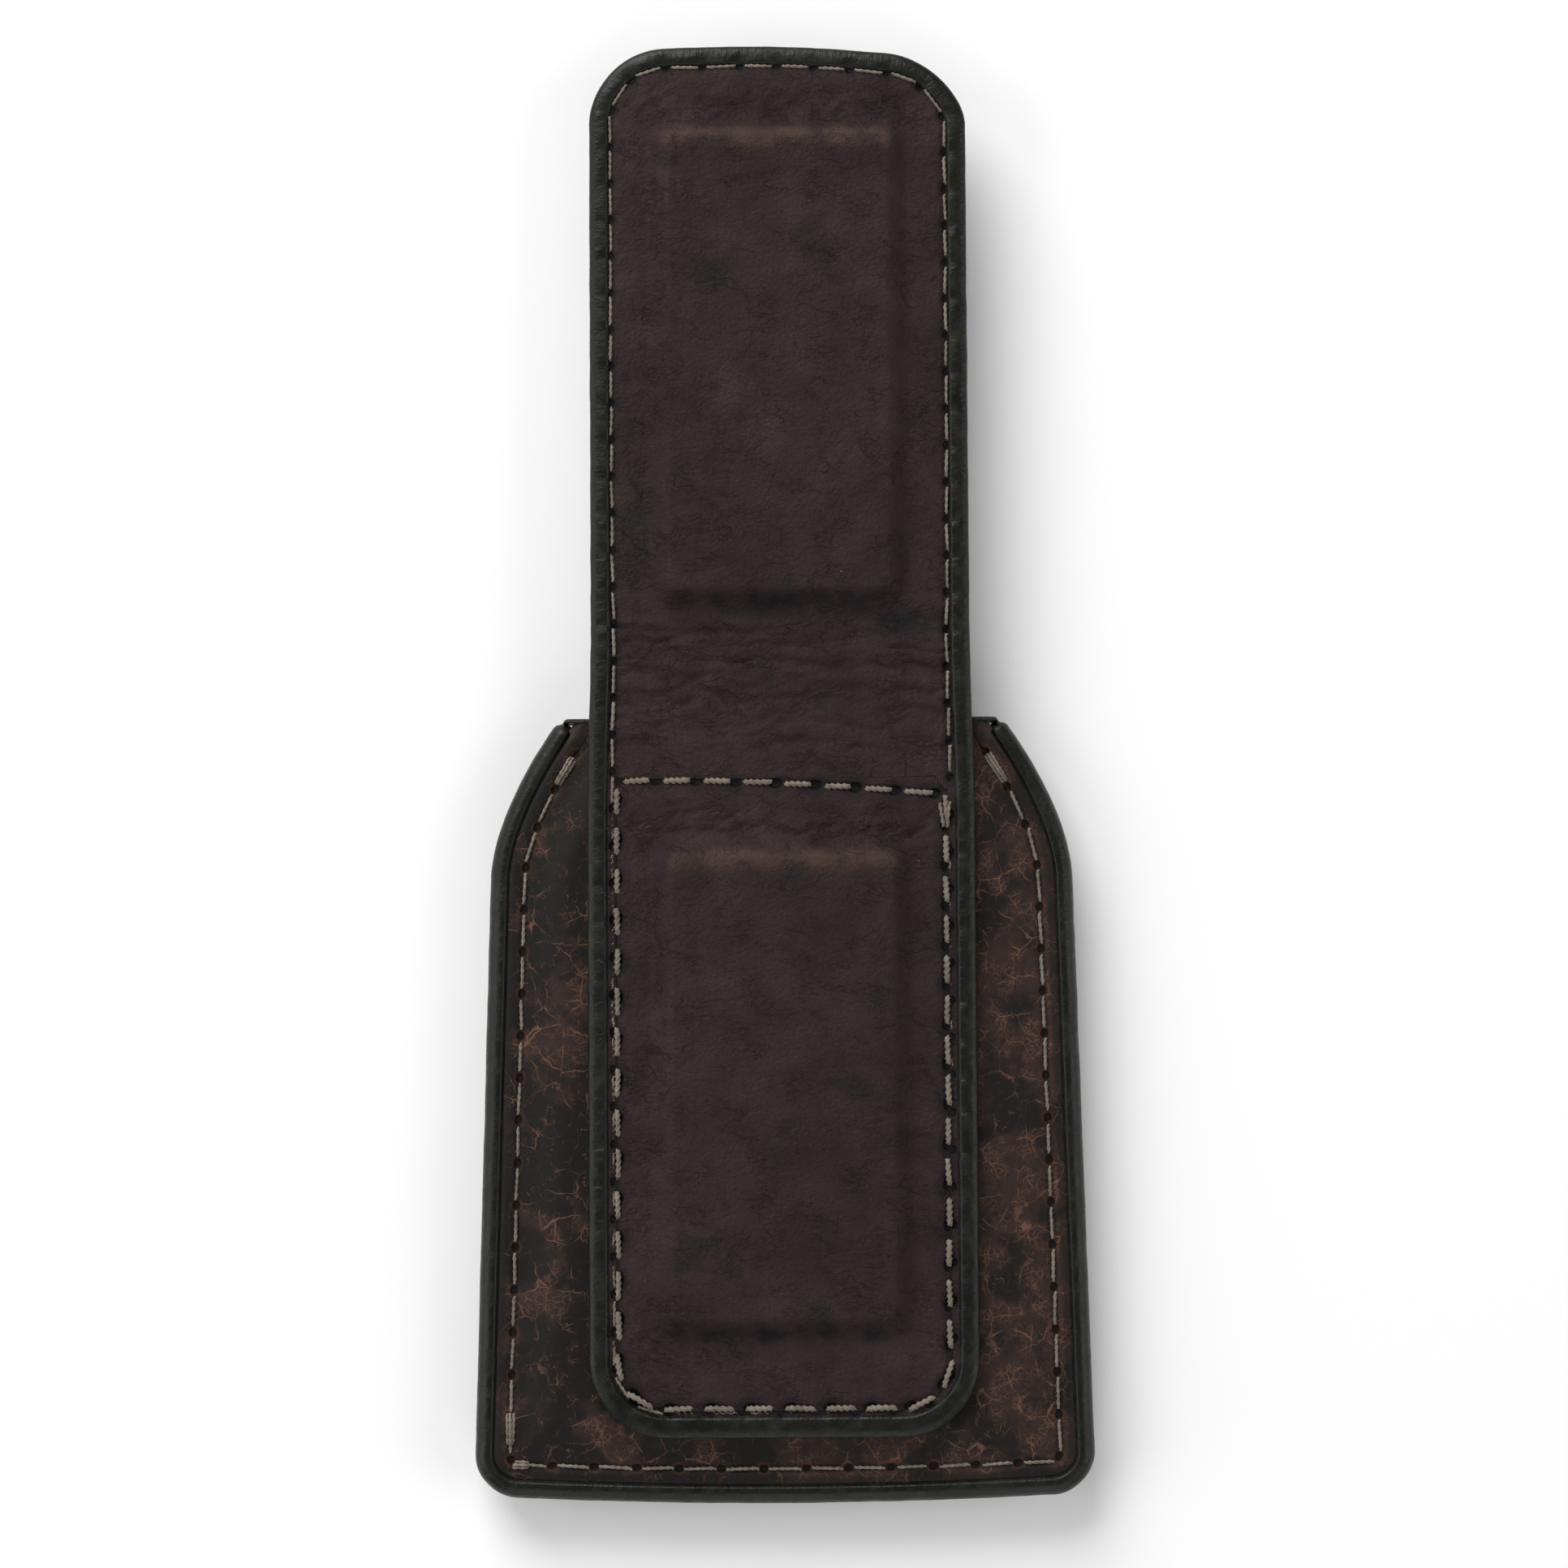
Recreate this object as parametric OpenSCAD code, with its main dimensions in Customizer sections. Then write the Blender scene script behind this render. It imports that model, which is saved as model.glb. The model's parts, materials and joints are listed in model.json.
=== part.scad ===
/* [Card pocket] */
// Length of the pocket from its mouth to its bottom edge
pocket_depth = 95; // [93:0.5:105]
// Width of the pocket across its bottom corners
pocket_base_w = 74.8; // [72:0.2:80]
// Width of the pocket where its shoulders begin
pocket_shoulder_w = 70.8; // [69:0.2:72]
// Width of the pocket along its mouth
pocket_mouth_w = 54; // [53:0.5:60]
// Length of the sloping shoulders below the mouth
shoulder_h = 19.5; // [16:0.5:24]
// Radius of the pocket's bottom corners
pocket_corner_r = 5.5; // [4:0.5:9]
// How far the bottom edge bows out at its middle
bottom_bow = 0.8; // [0.4:0.1:1.5]
// Distance of the pocket's seam from its edge
pocket_seam_inset = 4.4; // [3.5:0.1:5]
// Radius of the thumb notch in the front panel
notch_r = 15; // [10:1:18]
// Depth of the thumb notch below the mouth
notch_depth = 8; // [5:0.5:9]

/* [Leather] */
// Thickness of the outer leather
leather_t = 1.2; // [1:0.1:1.4]
// Thickness of the lining inside the pocket
lining_t = 0.6; // [0.5:0.1:0.8]
// Thickness of the welt between the pocket's panels
welt_t = 1.0; // [0.8:0.1:1.4]
// Thickness of the soft lining on the clip
strap_lining_t = 0.8; // [0.6:0.1:1]
// Thickness of the edge dressing
edge_coat_t = 0.4; // [0.3:0.1:0.6]

/* [Card space] */
// How far the middle of the back panel stands above its edge
back_rise = 1.0; // [0.8:0.1:1.4]
// How far the middle of the front panel stands out from its edge
front_rise = 2.4; // [2.2:0.1:3]
// Width of the slope from the seam to the raised middle
slope_w = 4.6; // [4:0.2:6]

/* [Clip strap] */
// Length of the whole strap
strap_len = 169; // [168:0.5:175]
// Width of the half that is sewn to the pocket
base_w = 47; // [46:0.2:48]
// Width of the flap
flap_w = 46; // [44:0.2:46.4]
// Radius of the strap's corners
strap_corner_r = 9.5; // [8:0.5:12]
// Distance from the pocket's bottom edge to the strap
strap_inset = 8; // [7:0.5:10]
// Distance of the strap's seam from its edge
strap_seam_inset = 2.9; // [2.5:0.1:3.4]

/* [Magnets] */
// Width of each magnet
magnet_w = 28; // [26:0.5:30]
// Length of each magnet
magnet_l = 57; // [50:0.5:58]
// Thickness of each magnet
magnet_t = 1.6; // [1.2:0.1:2]
// Radius of the magnets' corners
magnet_r = 2; // [1:0.5:3]
// Distance between the magnets' middles
magnet_spacing = 88; // [86:0.5:90]

/* [Fold] */
// Distance from the pocket's mouth down to the middle of the fold
fold_drop = 1; // [0:0.25:1.5]
// Gap left between the linings over the magnets when the clip is shut
shut_gap = 0.4; // [0.3:0.1:0.8]

/* [Thread] */
// Thickness of the fine thread
fine_thread_d = 0.45; // [0.3:0.05:0.6]
// Thickness of the heavy thread
heavy_thread_d = 0.8; // [0.6:0.05:0.9]
// Stitch length of the pocket's seam
pocket_pitch = 5.1; // [4.5:0.1:6]
// Stitch length of the strap's seam
strap_pitch = 4.5; // [4:0.1:5]
// Stitch length of the attachment seam
attach_pitch = 4.8; // [4.4:0.1:5.5]

/* [Hidden] */
$fn = 48;
total_len = strap_inset + strap_len;
pocket_bottom = -total_len / 2;
pocket_top = pocket_bottom + pocket_depth;
shoulder_y = pocket_top - shoulder_h;
shoulder_drop = (pocket_shoulder_w - pocket_mouth_w) / 2;
shoulder_power = 1.65; // 2 would be a parabola, lower is straighter
mouth_corner_r = 1.2;
mouth_run = 16; // how far the raised middle's outline runs on past the mouth before it is cut
strap_bottom = pocket_bottom + strap_inset;
strap_top = total_len / 2;
fold_y = pocket_top - fold_drop;

// Levels, from the face that the case rests on
front_edge_z = front_rise;
welt_z = front_edge_z + leather_t + lining_t;
back_lining_z = welt_z + welt_t;
back_leather_z = back_lining_z + lining_t;
strap_z = back_leather_z + leather_t + back_rise;
lining_z = strap_z + leather_t;
margin_top_z = lining_z + strap_lining_t;
raised_top_z = margin_top_z + magnet_t;

// Folding stretch: two hinge lines in the middle of the outer leather, each turning by 90 degrees,
// so that the stretch between them stands upright as a spine when the clip is shut
axis_z = strap_z + leather_t / 2;
shut_stack = 2 * (raised_top_z - axis_z) + shut_gap;
fold_play = 0.05; // each side of a hinge line
fold_lift = 0.15; // clearance above the pocket, which the folding stretch isn't sewn to
relief = tan(46.5); // how fast the inner side is cut back above a hinge line
seam_stop = fold_play + relief * (margin_top_z + fine_thread_d - axis_z) + 0.15;
far = 200;

// Attachment seam: a closed loop in the strap's sewn half
attach_row_y = fold_y - 7.6;
attach_inset = strap_seam_inset + 0.7;
stitch_share = 0.72; // visible part of a stitch's length
welt_inner_gap = 0.4; // the welt ends this far inside the seam
raised_border = 0.8; // lining on each side of a magnet
raised_r = magnet_r + raised_border;

base_hinge_y = fold_y - shut_stack / 2;
flap_hinge_y = fold_y + shut_stack / 2;
base_magnet_y = fold_y - magnet_spacing / 2;
flap_magnet_y = fold_y + magnet_spacing / 2;

// ---- outlines -------------------------------------------------------------

function mirrored(right) = concat(
    right,
    [for (i = [len(right) - 1 : -1 : 0]) if (right[i][0] > 0.001) [-right[i][0], right[i][1]]]
);

function arc(cx, cy, r, from, to, steps) =
    [for (i = [0 : steps]) let (a = from + (to - from) * i / steps) [cx + r * cos(a), cy + r * sin(a)]];

function shoulder_half(y) =
    pocket_shoulder_w / 2 - shoulder_drop * pow((y - shoulder_y) / shoulder_h, shoulder_power);

// Right half of the pocket's outline, from the mouth down to the middle of the bottom edge
function pocket_right() = let (
    r = pocket_corner_r,
    half = pocket_base_w / 2,
    corner_y = pocket_bottom + bottom_bow + r,
    tip_y = pocket_top - mouth_corner_r
) concat(
    arc(shoulder_half(tip_y) - mouth_corner_r, tip_y, mouth_corner_r, 90, 15, 4),
    [for (i = [1 : 10]) let (y = tip_y + (shoulder_y - tip_y) * i / 10) [shoulder_half(y), y]],
    arc(half - r, corner_y, r, 0, -90, 8),
    [for (i = [1 : 6]) let (x = (half - r) * (1 - i / 6))
        [x, pocket_bottom + bottom_bow * pow(x / (half - r), 2)]]
);

module pocket_outline(inset = 0) {
    if (inset == 0) polygon(mirrored(pocket_right()));
    else offset(delta = -inset) polygon(mirrored(pocket_right()));
}

// The pocket's outline inset along its sewn edges only: its shoulders run on past the mouth
module sewn_outline(inset) {
    slope = shoulder_drop * shoulder_power / shoulder_h;
    run_on = [[pocket_mouth_w / 2 - mouth_run * slope, pocket_top + mouth_run]];
    sides = [for (p = pocket_right()) if (p[1] < pocket_top - 2 * mouth_corner_r) p];
    offset(delta = -inset) polygon(mirrored(concat(run_on, sides)));
}

function smooth(t) = let (u = max(0, min(1, t))) u * u * (3 - 2 * u);

// Half width of the strap: the sewn half is a little wider than the flap
function strap_half(y) = flap_w / 2 + (base_w - flap_w) / 2 * smooth((fold_y + 12 - y) / 24);

// Right half of the strap's outline, from the flap's end down to the bottom
function strap_right(inset = 0) = let (
    r = strap_corner_r - inset,
    top = strap_top - inset,
    bottom = strap_bottom + inset
) concat(
    [[0, top]],
    arc(flap_w / 2 - strap_corner_r, top - r, r, 90, 0, 10),
    [for (i = [0 : 8]) let (y = fold_y + 12 - 3 * i) [strap_half(y) - inset, y]],
    arc(base_w / 2 - strap_corner_r, bottom + r, r, 0, -90, 10),
    [[0, bottom]]
);

module strap_outline(inset = 0) polygon(mirrored(strap_right(inset)));

module rounded_plate(w, l, r, h) {
    linear_extrude(h) union() {
        square([w - 2 * r, l], center = true);
        square([w, l - 2 * r], center = true);
        for (x = [-1, 1], y = [-1, 1]) translate([x * (w / 2 - r), y * (l / 2 - r)]) circle(r);
    }
}

// ---- pocket panels ----------------------------------------------------------

// Solid raised middle of a panel, open towards the mouth. Its foot stands at z = 0.
module rise(height) {
    foot = 0.5;
    if (height > 0) intersection() {
        hull() {
            translate([0, 0, -foot]) linear_extrude(foot)
                sewn_outline(pocket_seam_inset + welt_inner_gap);
            linear_extrude(height) sewn_outline(pocket_seam_inset + welt_inner_gap + slope_w);
        }
        translate([-far / 2, -far / 2, -foot]) cube([far, far / 2 + pocket_top, far]);
    }
}

// A panel of thickness t whose edge lies on z = 0, raised by height in its middle
module panel(t, height, inset) {
    difference() {
        union() {
            linear_extrude(t) pocket_outline(inset);
            intersection() {
                translate([0, 0, t]) rise(height);
                translate([0, 0, -1]) linear_extrude(height + t + 2) pocket_outline(inset);
            }
        }
        rise(height);
    }
}

module thumb_notch() {
    translate([0, pocket_top - notch_depth + notch_r, -1]) cylinder(r = notch_r, h = 10);
}

module pocket_front_leather() {
    color("#3a2620") difference() {
        translate([0, 0, front_edge_z + leather_t]) mirror([0, 0, 1])
            panel(leather_t, front_rise, edge_coat_t);
        thumb_notch();
    }
}

module pocket_front_lining() {
    color("#241a18") difference() {
        translate([0, 0, front_edge_z + leather_t + lining_t]) mirror([0, 0, 1])
            panel(lining_t, front_rise, edge_coat_t);
        thumb_notch();
    }
}

module pocket_back_lining() {
    color("#241a18") translate([0, 0, back_lining_z]) panel(lining_t, back_rise, edge_coat_t);
}

module pocket_back_leather() {
    color("#3b2a25") translate([0, 0, back_leather_z]) panel(leather_t, back_rise, edge_coat_t);
}

module pocket_welt() {
    color("#2a1c18") translate([0, 0, welt_z]) linear_extrude(welt_t) difference() {
        pocket_outline(edge_coat_t);
        sewn_outline(pocket_seam_inset + welt_inner_gap);
        translate([-far / 2, pocket_top - pocket_seam_inset]) square([far, far]);
    }
}

module pocket_edge_coat() {
    color("#2c2b27") translate([0, 0, front_edge_z])
        linear_extrude(back_leather_z + leather_t - front_edge_z) difference() {
            pocket_outline();
            pocket_outline(edge_coat_t);
            translate([-far / 2, pocket_top - pocket_seam_inset]) square([far, far]);
        }
}

// ---- clip strap --------------------------------------------------------------

// The block of space between two hinge lines, its inner side cut back so that the strap can fold
module span(a, b) {
    high = margin_top_z + 0.2;
    cut = relief * (high - axis_z);
    rotate([90, 0, 90]) linear_extrude(far, center = true) polygon([
        [a + fold_play, strap_z - 1],
        [b - fold_play, strap_z - 1],
        [b - fold_play, axis_z],
        [b - fold_play - cut, high],
        [a + fold_play + cut, high],
        [a + fold_play, axis_z]
    ]);
}

module strap_layer(from_z, to_z, inset) {
    translate([0, 0, from_z]) linear_extrude(to_z - from_z) strap_outline(inset);
}

// Lining of one half, raised over its magnet
module half_lining(magnet_y, a, b) {
    difference() {
        union() {
            intersection() {
                strap_layer(lining_z, margin_top_z, edge_coat_t);
                span(a, b);
            }
            translate([0, magnet_y, lining_z]) rounded_plate(
                magnet_w + 2 * raised_border, magnet_l + 2 * raised_border, raised_r,
                raised_top_z - lining_z);
        }
        translate([0, magnet_y, lining_z - 1])
            rounded_plate(magnet_w, magnet_l, magnet_r, magnet_t + 1);
    }
}

module magnet(magnet_y) {
    color("#55565a") translate([0, magnet_y, lining_z])
        rounded_plate(magnet_w, magnet_l, magnet_r, magnet_t);
}

module edge_coat(a, b) {
    color("#2c2b27") intersection() {
        difference() {
            strap_layer(strap_z, margin_top_z, 0);
            translate([0, 0, strap_z - 1])
                linear_extrude(margin_top_z - strap_z + 2) strap_outline(edge_coat_t);
        }
        span(a, b);
    }
}

module half_leather(a, b) {
    color("#33241f") intersection() {
        strap_layer(strap_z, lining_z, edge_coat_t);
        span(a, b);
    }
}

module clip_base_leather() half_leather(-far, base_hinge_y);
module clip_base_lining() color("#3a2b2b") half_lining(base_magnet_y, -far, base_hinge_y);
module base_magnet() magnet(base_magnet_y);
module clip_base_edge_coat() edge_coat(-far, base_hinge_y);
module flap_leather() half_leather(flap_hinge_y, far);
module flap_lining() color("#3a2b2b") half_lining(flap_magnet_y, flap_hinge_y, far);
module flap_magnet() magnet(flap_magnet_y);
module flap_edge_coat() edge_coat(flap_hinge_y, far);

module fold_leather() {
    color("#33241f") intersection() {
        strap_layer(strap_z + fold_lift, lining_z, 0);
        span(base_hinge_y, flap_hinge_y);
    }
}

module fold_lining() {
    color("#3a2b2b") intersection() {
        strap_layer(lining_z, margin_top_z, 0);
        span(base_hinge_y, flap_hinge_y);
    }
}

// ---- seams -------------------------------------------------------------------

function leg(p, i) = norm(p[i + 1] - p[i]);
function path_length(p, i = 0) = i >= len(p) - 1 ? 0 : leg(p, i) + path_length(p, i + 1);
// The place and heading at distance s along the path p
function along(p, s, i = 0) =
    (i >= len(p) - 2 || s <= leg(p, i))
        ? let (d = (p[i + 1] - p[i]) / leg(p, i)) [p[i] + d * s, atan2(d[1], d[0])]
        : along(p, s - leg(p, i), i + 1);

// Straight stitches of thread d thick, lying on the level z along the path p
module stitches(p, pitch, d, z) {
    total = path_length(p);
    count = max(1, round(total / pitch));
    step = total / count;
    for (i = [0 : count - 1]) {
        at = along(p, (i + 0.5) * step);
        translate([at[0][0], at[0][1], z]) rotate([0, 90, at[1]])
            cylinder(d = d, h = step * stitch_share, center = true);
    }
}

// The pocket's seam, from the mouth's right corner round to the left one
function inset_pocket_right(inset) = let (
    y0 = pocket_top - pocket_seam_inset,
    r = max(1, pocket_corner_r - inset),
    half = pocket_base_w / 2 - inset,
    bottom = pocket_bottom + bottom_bow + inset * 0.8
) concat(
    [for (i = [0 : 8]) let (y = y0 + (shoulder_y - y0) * i / 8)
        [shoulder_half(y) - inset * (1 - 0.2 * i / 8) + 0.4 * (1 - i / 8), y]],
    arc(half - r, bottom + r, r, 0, -90, 3),
    [[0, bottom - bottom_bow * 0.8]]
);

pocket_seam = mirrored(inset_pocket_right(pocket_seam_inset));
base_end = base_hinge_y - seam_stop;
flap_end = flap_hinge_y + seam_stop;
strap_seam_right = strap_right(strap_seam_inset);
base_seam = mirrored(concat(
    [[strap_half(base_end) - strap_seam_inset, base_end]],
    [for (p = strap_seam_right) if (p[1] < base_end - 1) p]
));
flap_seam = mirrored(concat(
    [[strap_half(flap_end) - strap_seam_inset, flap_end]],
    [for (i = [len(strap_seam_right) - 1 : -1 : 0]) let (p = strap_seam_right[i]) if (p[1] > flap_end + 1) p]
));
attach_right = concat(
    [[0, attach_row_y]],
    [[strap_half(attach_row_y) - attach_inset, attach_row_y]],
    [for (p = strap_right(attach_inset)) if (p[1] < attach_row_y - 1) p]
);
attach_seam = concat(mirrored(attach_right), [[0, attach_row_y]]);

module pocket_seam_thread() {
    color("#9c9289") for (z = [back_leather_z + leather_t + fine_thread_d / 2,
                               front_edge_z - fine_thread_d / 2])
        stitches(pocket_seam, pocket_pitch, fine_thread_d, z);
}

module clip_base_seam_thread() {
    color("#9c9289")
        stitches(base_seam, strap_pitch, fine_thread_d, margin_top_z + fine_thread_d / 2);
}

module clip_attachment_thread() {
    color("#8f857c")
        stitches(attach_seam, attach_pitch, heavy_thread_d, margin_top_z + heavy_thread_d / 2);
}

module flap_seam_thread() {
    color("#9c9289") for (z = [margin_top_z + fine_thread_d / 2, strap_z - fine_thread_d / 2])
        stitches(flap_seam, strap_pitch, fine_thread_d, z);
}

// The seam's stitch on each side of the folding stretch
module fold_thread() {
    long = shut_stack - 2 * seam_stop;
    color("#9c9289") for (side = [-1, 1])
        translate([side * (strap_half(fold_y) - strap_seam_inset), fold_y, margin_top_z + fine_thread_d / 2])
            rotate([90, 0, 0]) cylinder(d = fine_thread_d, h = long, center = true);
}

pocket_front_leather();
pocket_front_lining();
pocket_welt();
pocket_back_lining();
pocket_back_leather();
pocket_edge_coat();
pocket_seam_thread();
clip_base_leather();
clip_base_lining();
base_magnet();
clip_base_edge_coat();
clip_base_seam_thread();
clip_attachment_thread();
fold_leather();
fold_lining();
fold_thread();
flap_leather();
flap_lining();
flap_magnet();
flap_edge_coat();
flap_seam_thread();
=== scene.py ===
import json
import math

import bmesh
import bpy
import numpy as np
from bpy.props import FloatProperty, FloatVectorProperty, IntProperty, PointerProperty
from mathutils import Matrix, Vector


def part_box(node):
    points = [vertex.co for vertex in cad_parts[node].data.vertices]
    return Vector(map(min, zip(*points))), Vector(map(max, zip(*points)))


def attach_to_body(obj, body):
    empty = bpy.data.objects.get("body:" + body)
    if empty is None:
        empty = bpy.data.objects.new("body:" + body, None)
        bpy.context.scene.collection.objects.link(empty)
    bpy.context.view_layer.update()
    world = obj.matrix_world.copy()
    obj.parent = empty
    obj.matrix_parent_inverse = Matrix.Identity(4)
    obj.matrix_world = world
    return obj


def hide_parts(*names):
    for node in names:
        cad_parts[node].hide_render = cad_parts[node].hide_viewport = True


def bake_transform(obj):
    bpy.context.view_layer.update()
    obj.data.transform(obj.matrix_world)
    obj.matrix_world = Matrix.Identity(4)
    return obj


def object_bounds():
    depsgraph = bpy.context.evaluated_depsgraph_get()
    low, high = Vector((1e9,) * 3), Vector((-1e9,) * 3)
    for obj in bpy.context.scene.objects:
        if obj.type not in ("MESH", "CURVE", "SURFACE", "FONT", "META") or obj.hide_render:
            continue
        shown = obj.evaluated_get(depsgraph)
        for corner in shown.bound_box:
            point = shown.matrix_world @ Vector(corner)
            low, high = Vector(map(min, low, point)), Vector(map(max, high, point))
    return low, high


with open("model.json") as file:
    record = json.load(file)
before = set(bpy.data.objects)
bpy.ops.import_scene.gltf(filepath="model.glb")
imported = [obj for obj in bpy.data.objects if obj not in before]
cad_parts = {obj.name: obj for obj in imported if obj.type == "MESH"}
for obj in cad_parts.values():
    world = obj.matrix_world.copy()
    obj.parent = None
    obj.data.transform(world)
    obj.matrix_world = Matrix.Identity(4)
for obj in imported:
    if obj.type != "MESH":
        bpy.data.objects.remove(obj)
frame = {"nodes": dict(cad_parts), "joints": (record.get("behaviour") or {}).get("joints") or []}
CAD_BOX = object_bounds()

bl_info = {
    "name": "Magnetic clip card case",
    "version": (1, 0, 0),
    "blender": (4, 5, 0),
    "location": "3D View > Sidebar > Card Case",
    "description": "Builds a leather card pocket with a sewn-on magnetic clip",
    "category": "Add Mesh",
}

MM = 0.001
LINING_THICKNESS = 0.58  # the pocket's lining, mm
SEAM_STOPS_SHORT = 4.2  # from the pocket's mouth to its seam's ends, mm
SIDE_POINTS, END_POINTS = 280, 30  # along each straight stretch of the strap's outline


# ---- the frame's places, in millimetres ------------------------------------------------

def corners(name):
    """Lowest and highest corner of a CAD node, in millimetres."""
    low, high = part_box(name)
    return np.array(low) / MM, np.array(high) / MM


COAT_LOW, COAT_HIGH = corners("pocket_edge_coat")
STRAP_LOW, STRAP_HIGH = corners("clip_base_edge_coat")
FLAP_HIGH = corners("flap_edge_coat")[1]
FRONT_LOW, FRONT_HIGH = corners("pocket_front_leather")
BACK_HIGH = corners("pocket_back_leather")[1]
RAISED_TOP = corners("flap_lining")[1][2]
MAGNETS = [corners("base_magnet"), corners("flap_magnet")]
HINGES = [j["pos_m"][1] / MM for j in frame["joints"]]
FOLD_PITCH = HINGES[1] - HINGES[0]
CUTS = [HINGES[0] - FOLD_PITCH / 2 + k * FOLD_PITCH for k in range(len(HINGES) + 1)]


def hex_to_linear(code):
    """An sRGB hex colour as linear red, green, blue and alpha."""
    parts = [int(code[i:i + 2], 16) / 255 for i in (1, 3, 5)]
    return tuple(c / 12.92 if c <= 0.04045 else ((c + 0.055) / 1.055) ** 2.4 for c in parts) + (1.0,)


# ---- what a user can change ------------------------------------------------------------

def length(name, description, default):
    """A length property in metres whose default is given in millimetres."""
    return FloatProperty(name=name, description=description, default=default * MM,
                         min=0.0, unit="LENGTH", subtype="DISTANCE", precision=5)


def colour(name, description, code):
    """A colour property whose default is an sRGB hex code."""
    return FloatVectorProperty(name=name, description=description, subtype="COLOR",
                               size=4, min=0.0, max=1.0, default=hex_to_linear(code))


class PocketSizes(bpy.types.PropertyGroup):
    """Sizes of the card pocket."""

    base_width: length("Base width", "Width across the bottom corners", COAT_HIGH[0] - COAT_LOW[0])
    shoulder_width: length("Shoulder width", "Width where the shoulders begin", 70.8)
    mouth_width: length("Mouth width", "Width along the mouth", 54)
    shoulder_height: length("Shoulder height", "Length of the sloping shoulders", 19.5)
    corner_radius: length("Corner radius", "Radius of the bottom corners", 5.5)
    bow: length("Bow", "How far the bottom edge bows out", 0.8)
    seam_inset: length("Seam inset", "Distance of the seam from the edge", 4.3)
    bead_width: length("Edge width", "Width of the dressed edge seen from above", 2.3)
    notch_radius: length("Notch radius", "Radius of the thumb notch", 15)
    notch_depth: length("Notch depth", "Depth of the thumb notch", 8)


class ClipSizes(bpy.types.PropertyGroup):
    """Sizes of the clip strap."""

    base_width: length("Base width", "Width of the sewn half", STRAP_HIGH[0] - STRAP_LOW[0])
    flap_width: length("Flap width", "Width of the flap", 46)
    corner_radius: length("Corner radius", "Radius of the strap's corners", 9.5)
    bead_width: length("Edge width", "Width of the dressed edge seen from above", 2.45)
    flap_seam_inset: length("Flap seam inset", "Distance of the seam from the flap's edge", 2.65)
    base_seam_inset: length("Base seam inset", "Distance of the seam from the base's edge", 3.1)


class SeamSizes(bpy.types.PropertyGroup):
    """Sizes of the stitches."""

    fine_thread: length("Fine thread", "Thickness of the fine thread", 0.47)
    heavy_thread: length("Heavy thread", "Thickness of the heavy thread", 0.76)
    pocket_pitch: length("Pocket stitch", "Stitch length of the pocket's seam", 5.1)
    strap_pitch: length("Strap stitch", "Stitch length of the strap's seam", 4.5)
    attach_pitch: length("Attachment stitch", "Stitch length of the attachment seam", 4.85)
    seed: IntProperty(name="Seed", description="Seed of the stitches' unevenness", default=7)


class Finishes(bpy.types.PropertyGroup):
    """Colours of the leathers, the edge dressing and the thread."""

    hide: colour("Cowhide", "Waxed outer leather, smooth patches", "#191514")
    hide_worn: colour("Cowhide, worn", "Waxed outer leather where the finish has thinned", "#2f2320")
    crack: colour("Cracks", "Bare leather in the finish's fine cracks", "#6d4d3e")
    lining: colour("Clip lining", "Soft lining leather", "#2c1f21")
    lining_worn: colour("Clip lining, worn", "Soft lining leather where it is rubbed", "#3d2d2b")
    stain: colour("Stain", "Dark green-black stain of the dressing", "#0f1213")
    dressing: colour("Edge dressing", "Green-black edge dressing", "#161712")
    thread: colour("Thread", "Twisted polyester thread", "#766c62")


# ---- small helpers ---------------------------------------------------------------------

def smooth(t):
    """Smooth step from 0 to 1."""
    t = np.clip(t, 0.0, 1.0)
    return t * t * (3 - 2 * t)


def bell(t):
    """A bump of height 1 at 0."""
    return np.exp(-t * t)


def gradient_noise(x, y, seed):
    """Perlin noise on the plane, from about -0.7 to 0.7, the same on every run."""
    table = np.random.default_rng(seed).permutation(256)
    angles = np.random.default_rng(seed + 1).uniform(0, 2 * math.pi, 256)
    x0, y0 = np.floor(x).astype(int), np.floor(y).astype(int)
    fx, fy = x - x0, y - y0

    def corner(dx, dy):
        pick = angles[table[(table[(x0 + dx) % 256] + y0 + dy) % 256]]
        return np.cos(pick) * (fx - dx) + np.sin(pick) * (fy - dy)

    u, v = (t * t * t * (t * (6 * t - 15) + 10) for t in (fx, fy))
    low = corner(0, 0) * (1 - u) + corner(1, 0) * u
    high = corner(0, 1) * (1 - u) + corner(1, 1) * u
    return low * (1 - v) + high * v


def layered_noise(x, y, seed, octaves=3):
    """Several octaves of gradient noise."""
    return sum(gradient_noise(x * 2 ** k, y * 2 ** k, seed + 10 * k) / 2 ** k for k in range(octaves))


def creases(x, y, seed, width=0.16):
    """1 along the wandering zero lines of a noise, falling to 0 away from them."""
    return bell(layered_noise(x, y, seed, octaves=2) / width)


def put(tree, kind, *values, out=0, **settings):
    """Adds a node with its settings and links, and gives back one of its outputs, or all of them for None.
    The values feed the sockets in order, or by name in a dictionary, each a constant or another output."""
    made = tree.nodes.new(kind)
    for name, value in settings.items():
        setattr(made, name, value)
    for place, value in enumerate(values):
        for name, item in (value if isinstance(value, dict) else {place: value}).items():
            if isinstance(item, bpy.types.NodeSocket):
                tree.links.new(item, made.inputs[name])
            else:
                made.inputs[name].default_value = item
    return made.outputs if out is None else made.outputs[out]


def finish_piece(mesh, name, material, node_names, body=None, between=None):
    """Links the mesh as a piece that stands for CAD nodes and rides on a body, or, as a stretch of the fold between
    two bodies, stays in place with its transform baked into its mesh.
    """
    piece = bpy.data.objects.new(name, mesh)
    bpy.context.scene.collection.objects.link(piece)
    mesh.materials.clear()
    mesh.materials.append(material)
    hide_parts(*node_names)
    if between is not None:
        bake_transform(piece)
    else:
        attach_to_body(piece, body)
    return piece


# ---- outlines --------------------------------------------------------------------------

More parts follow.
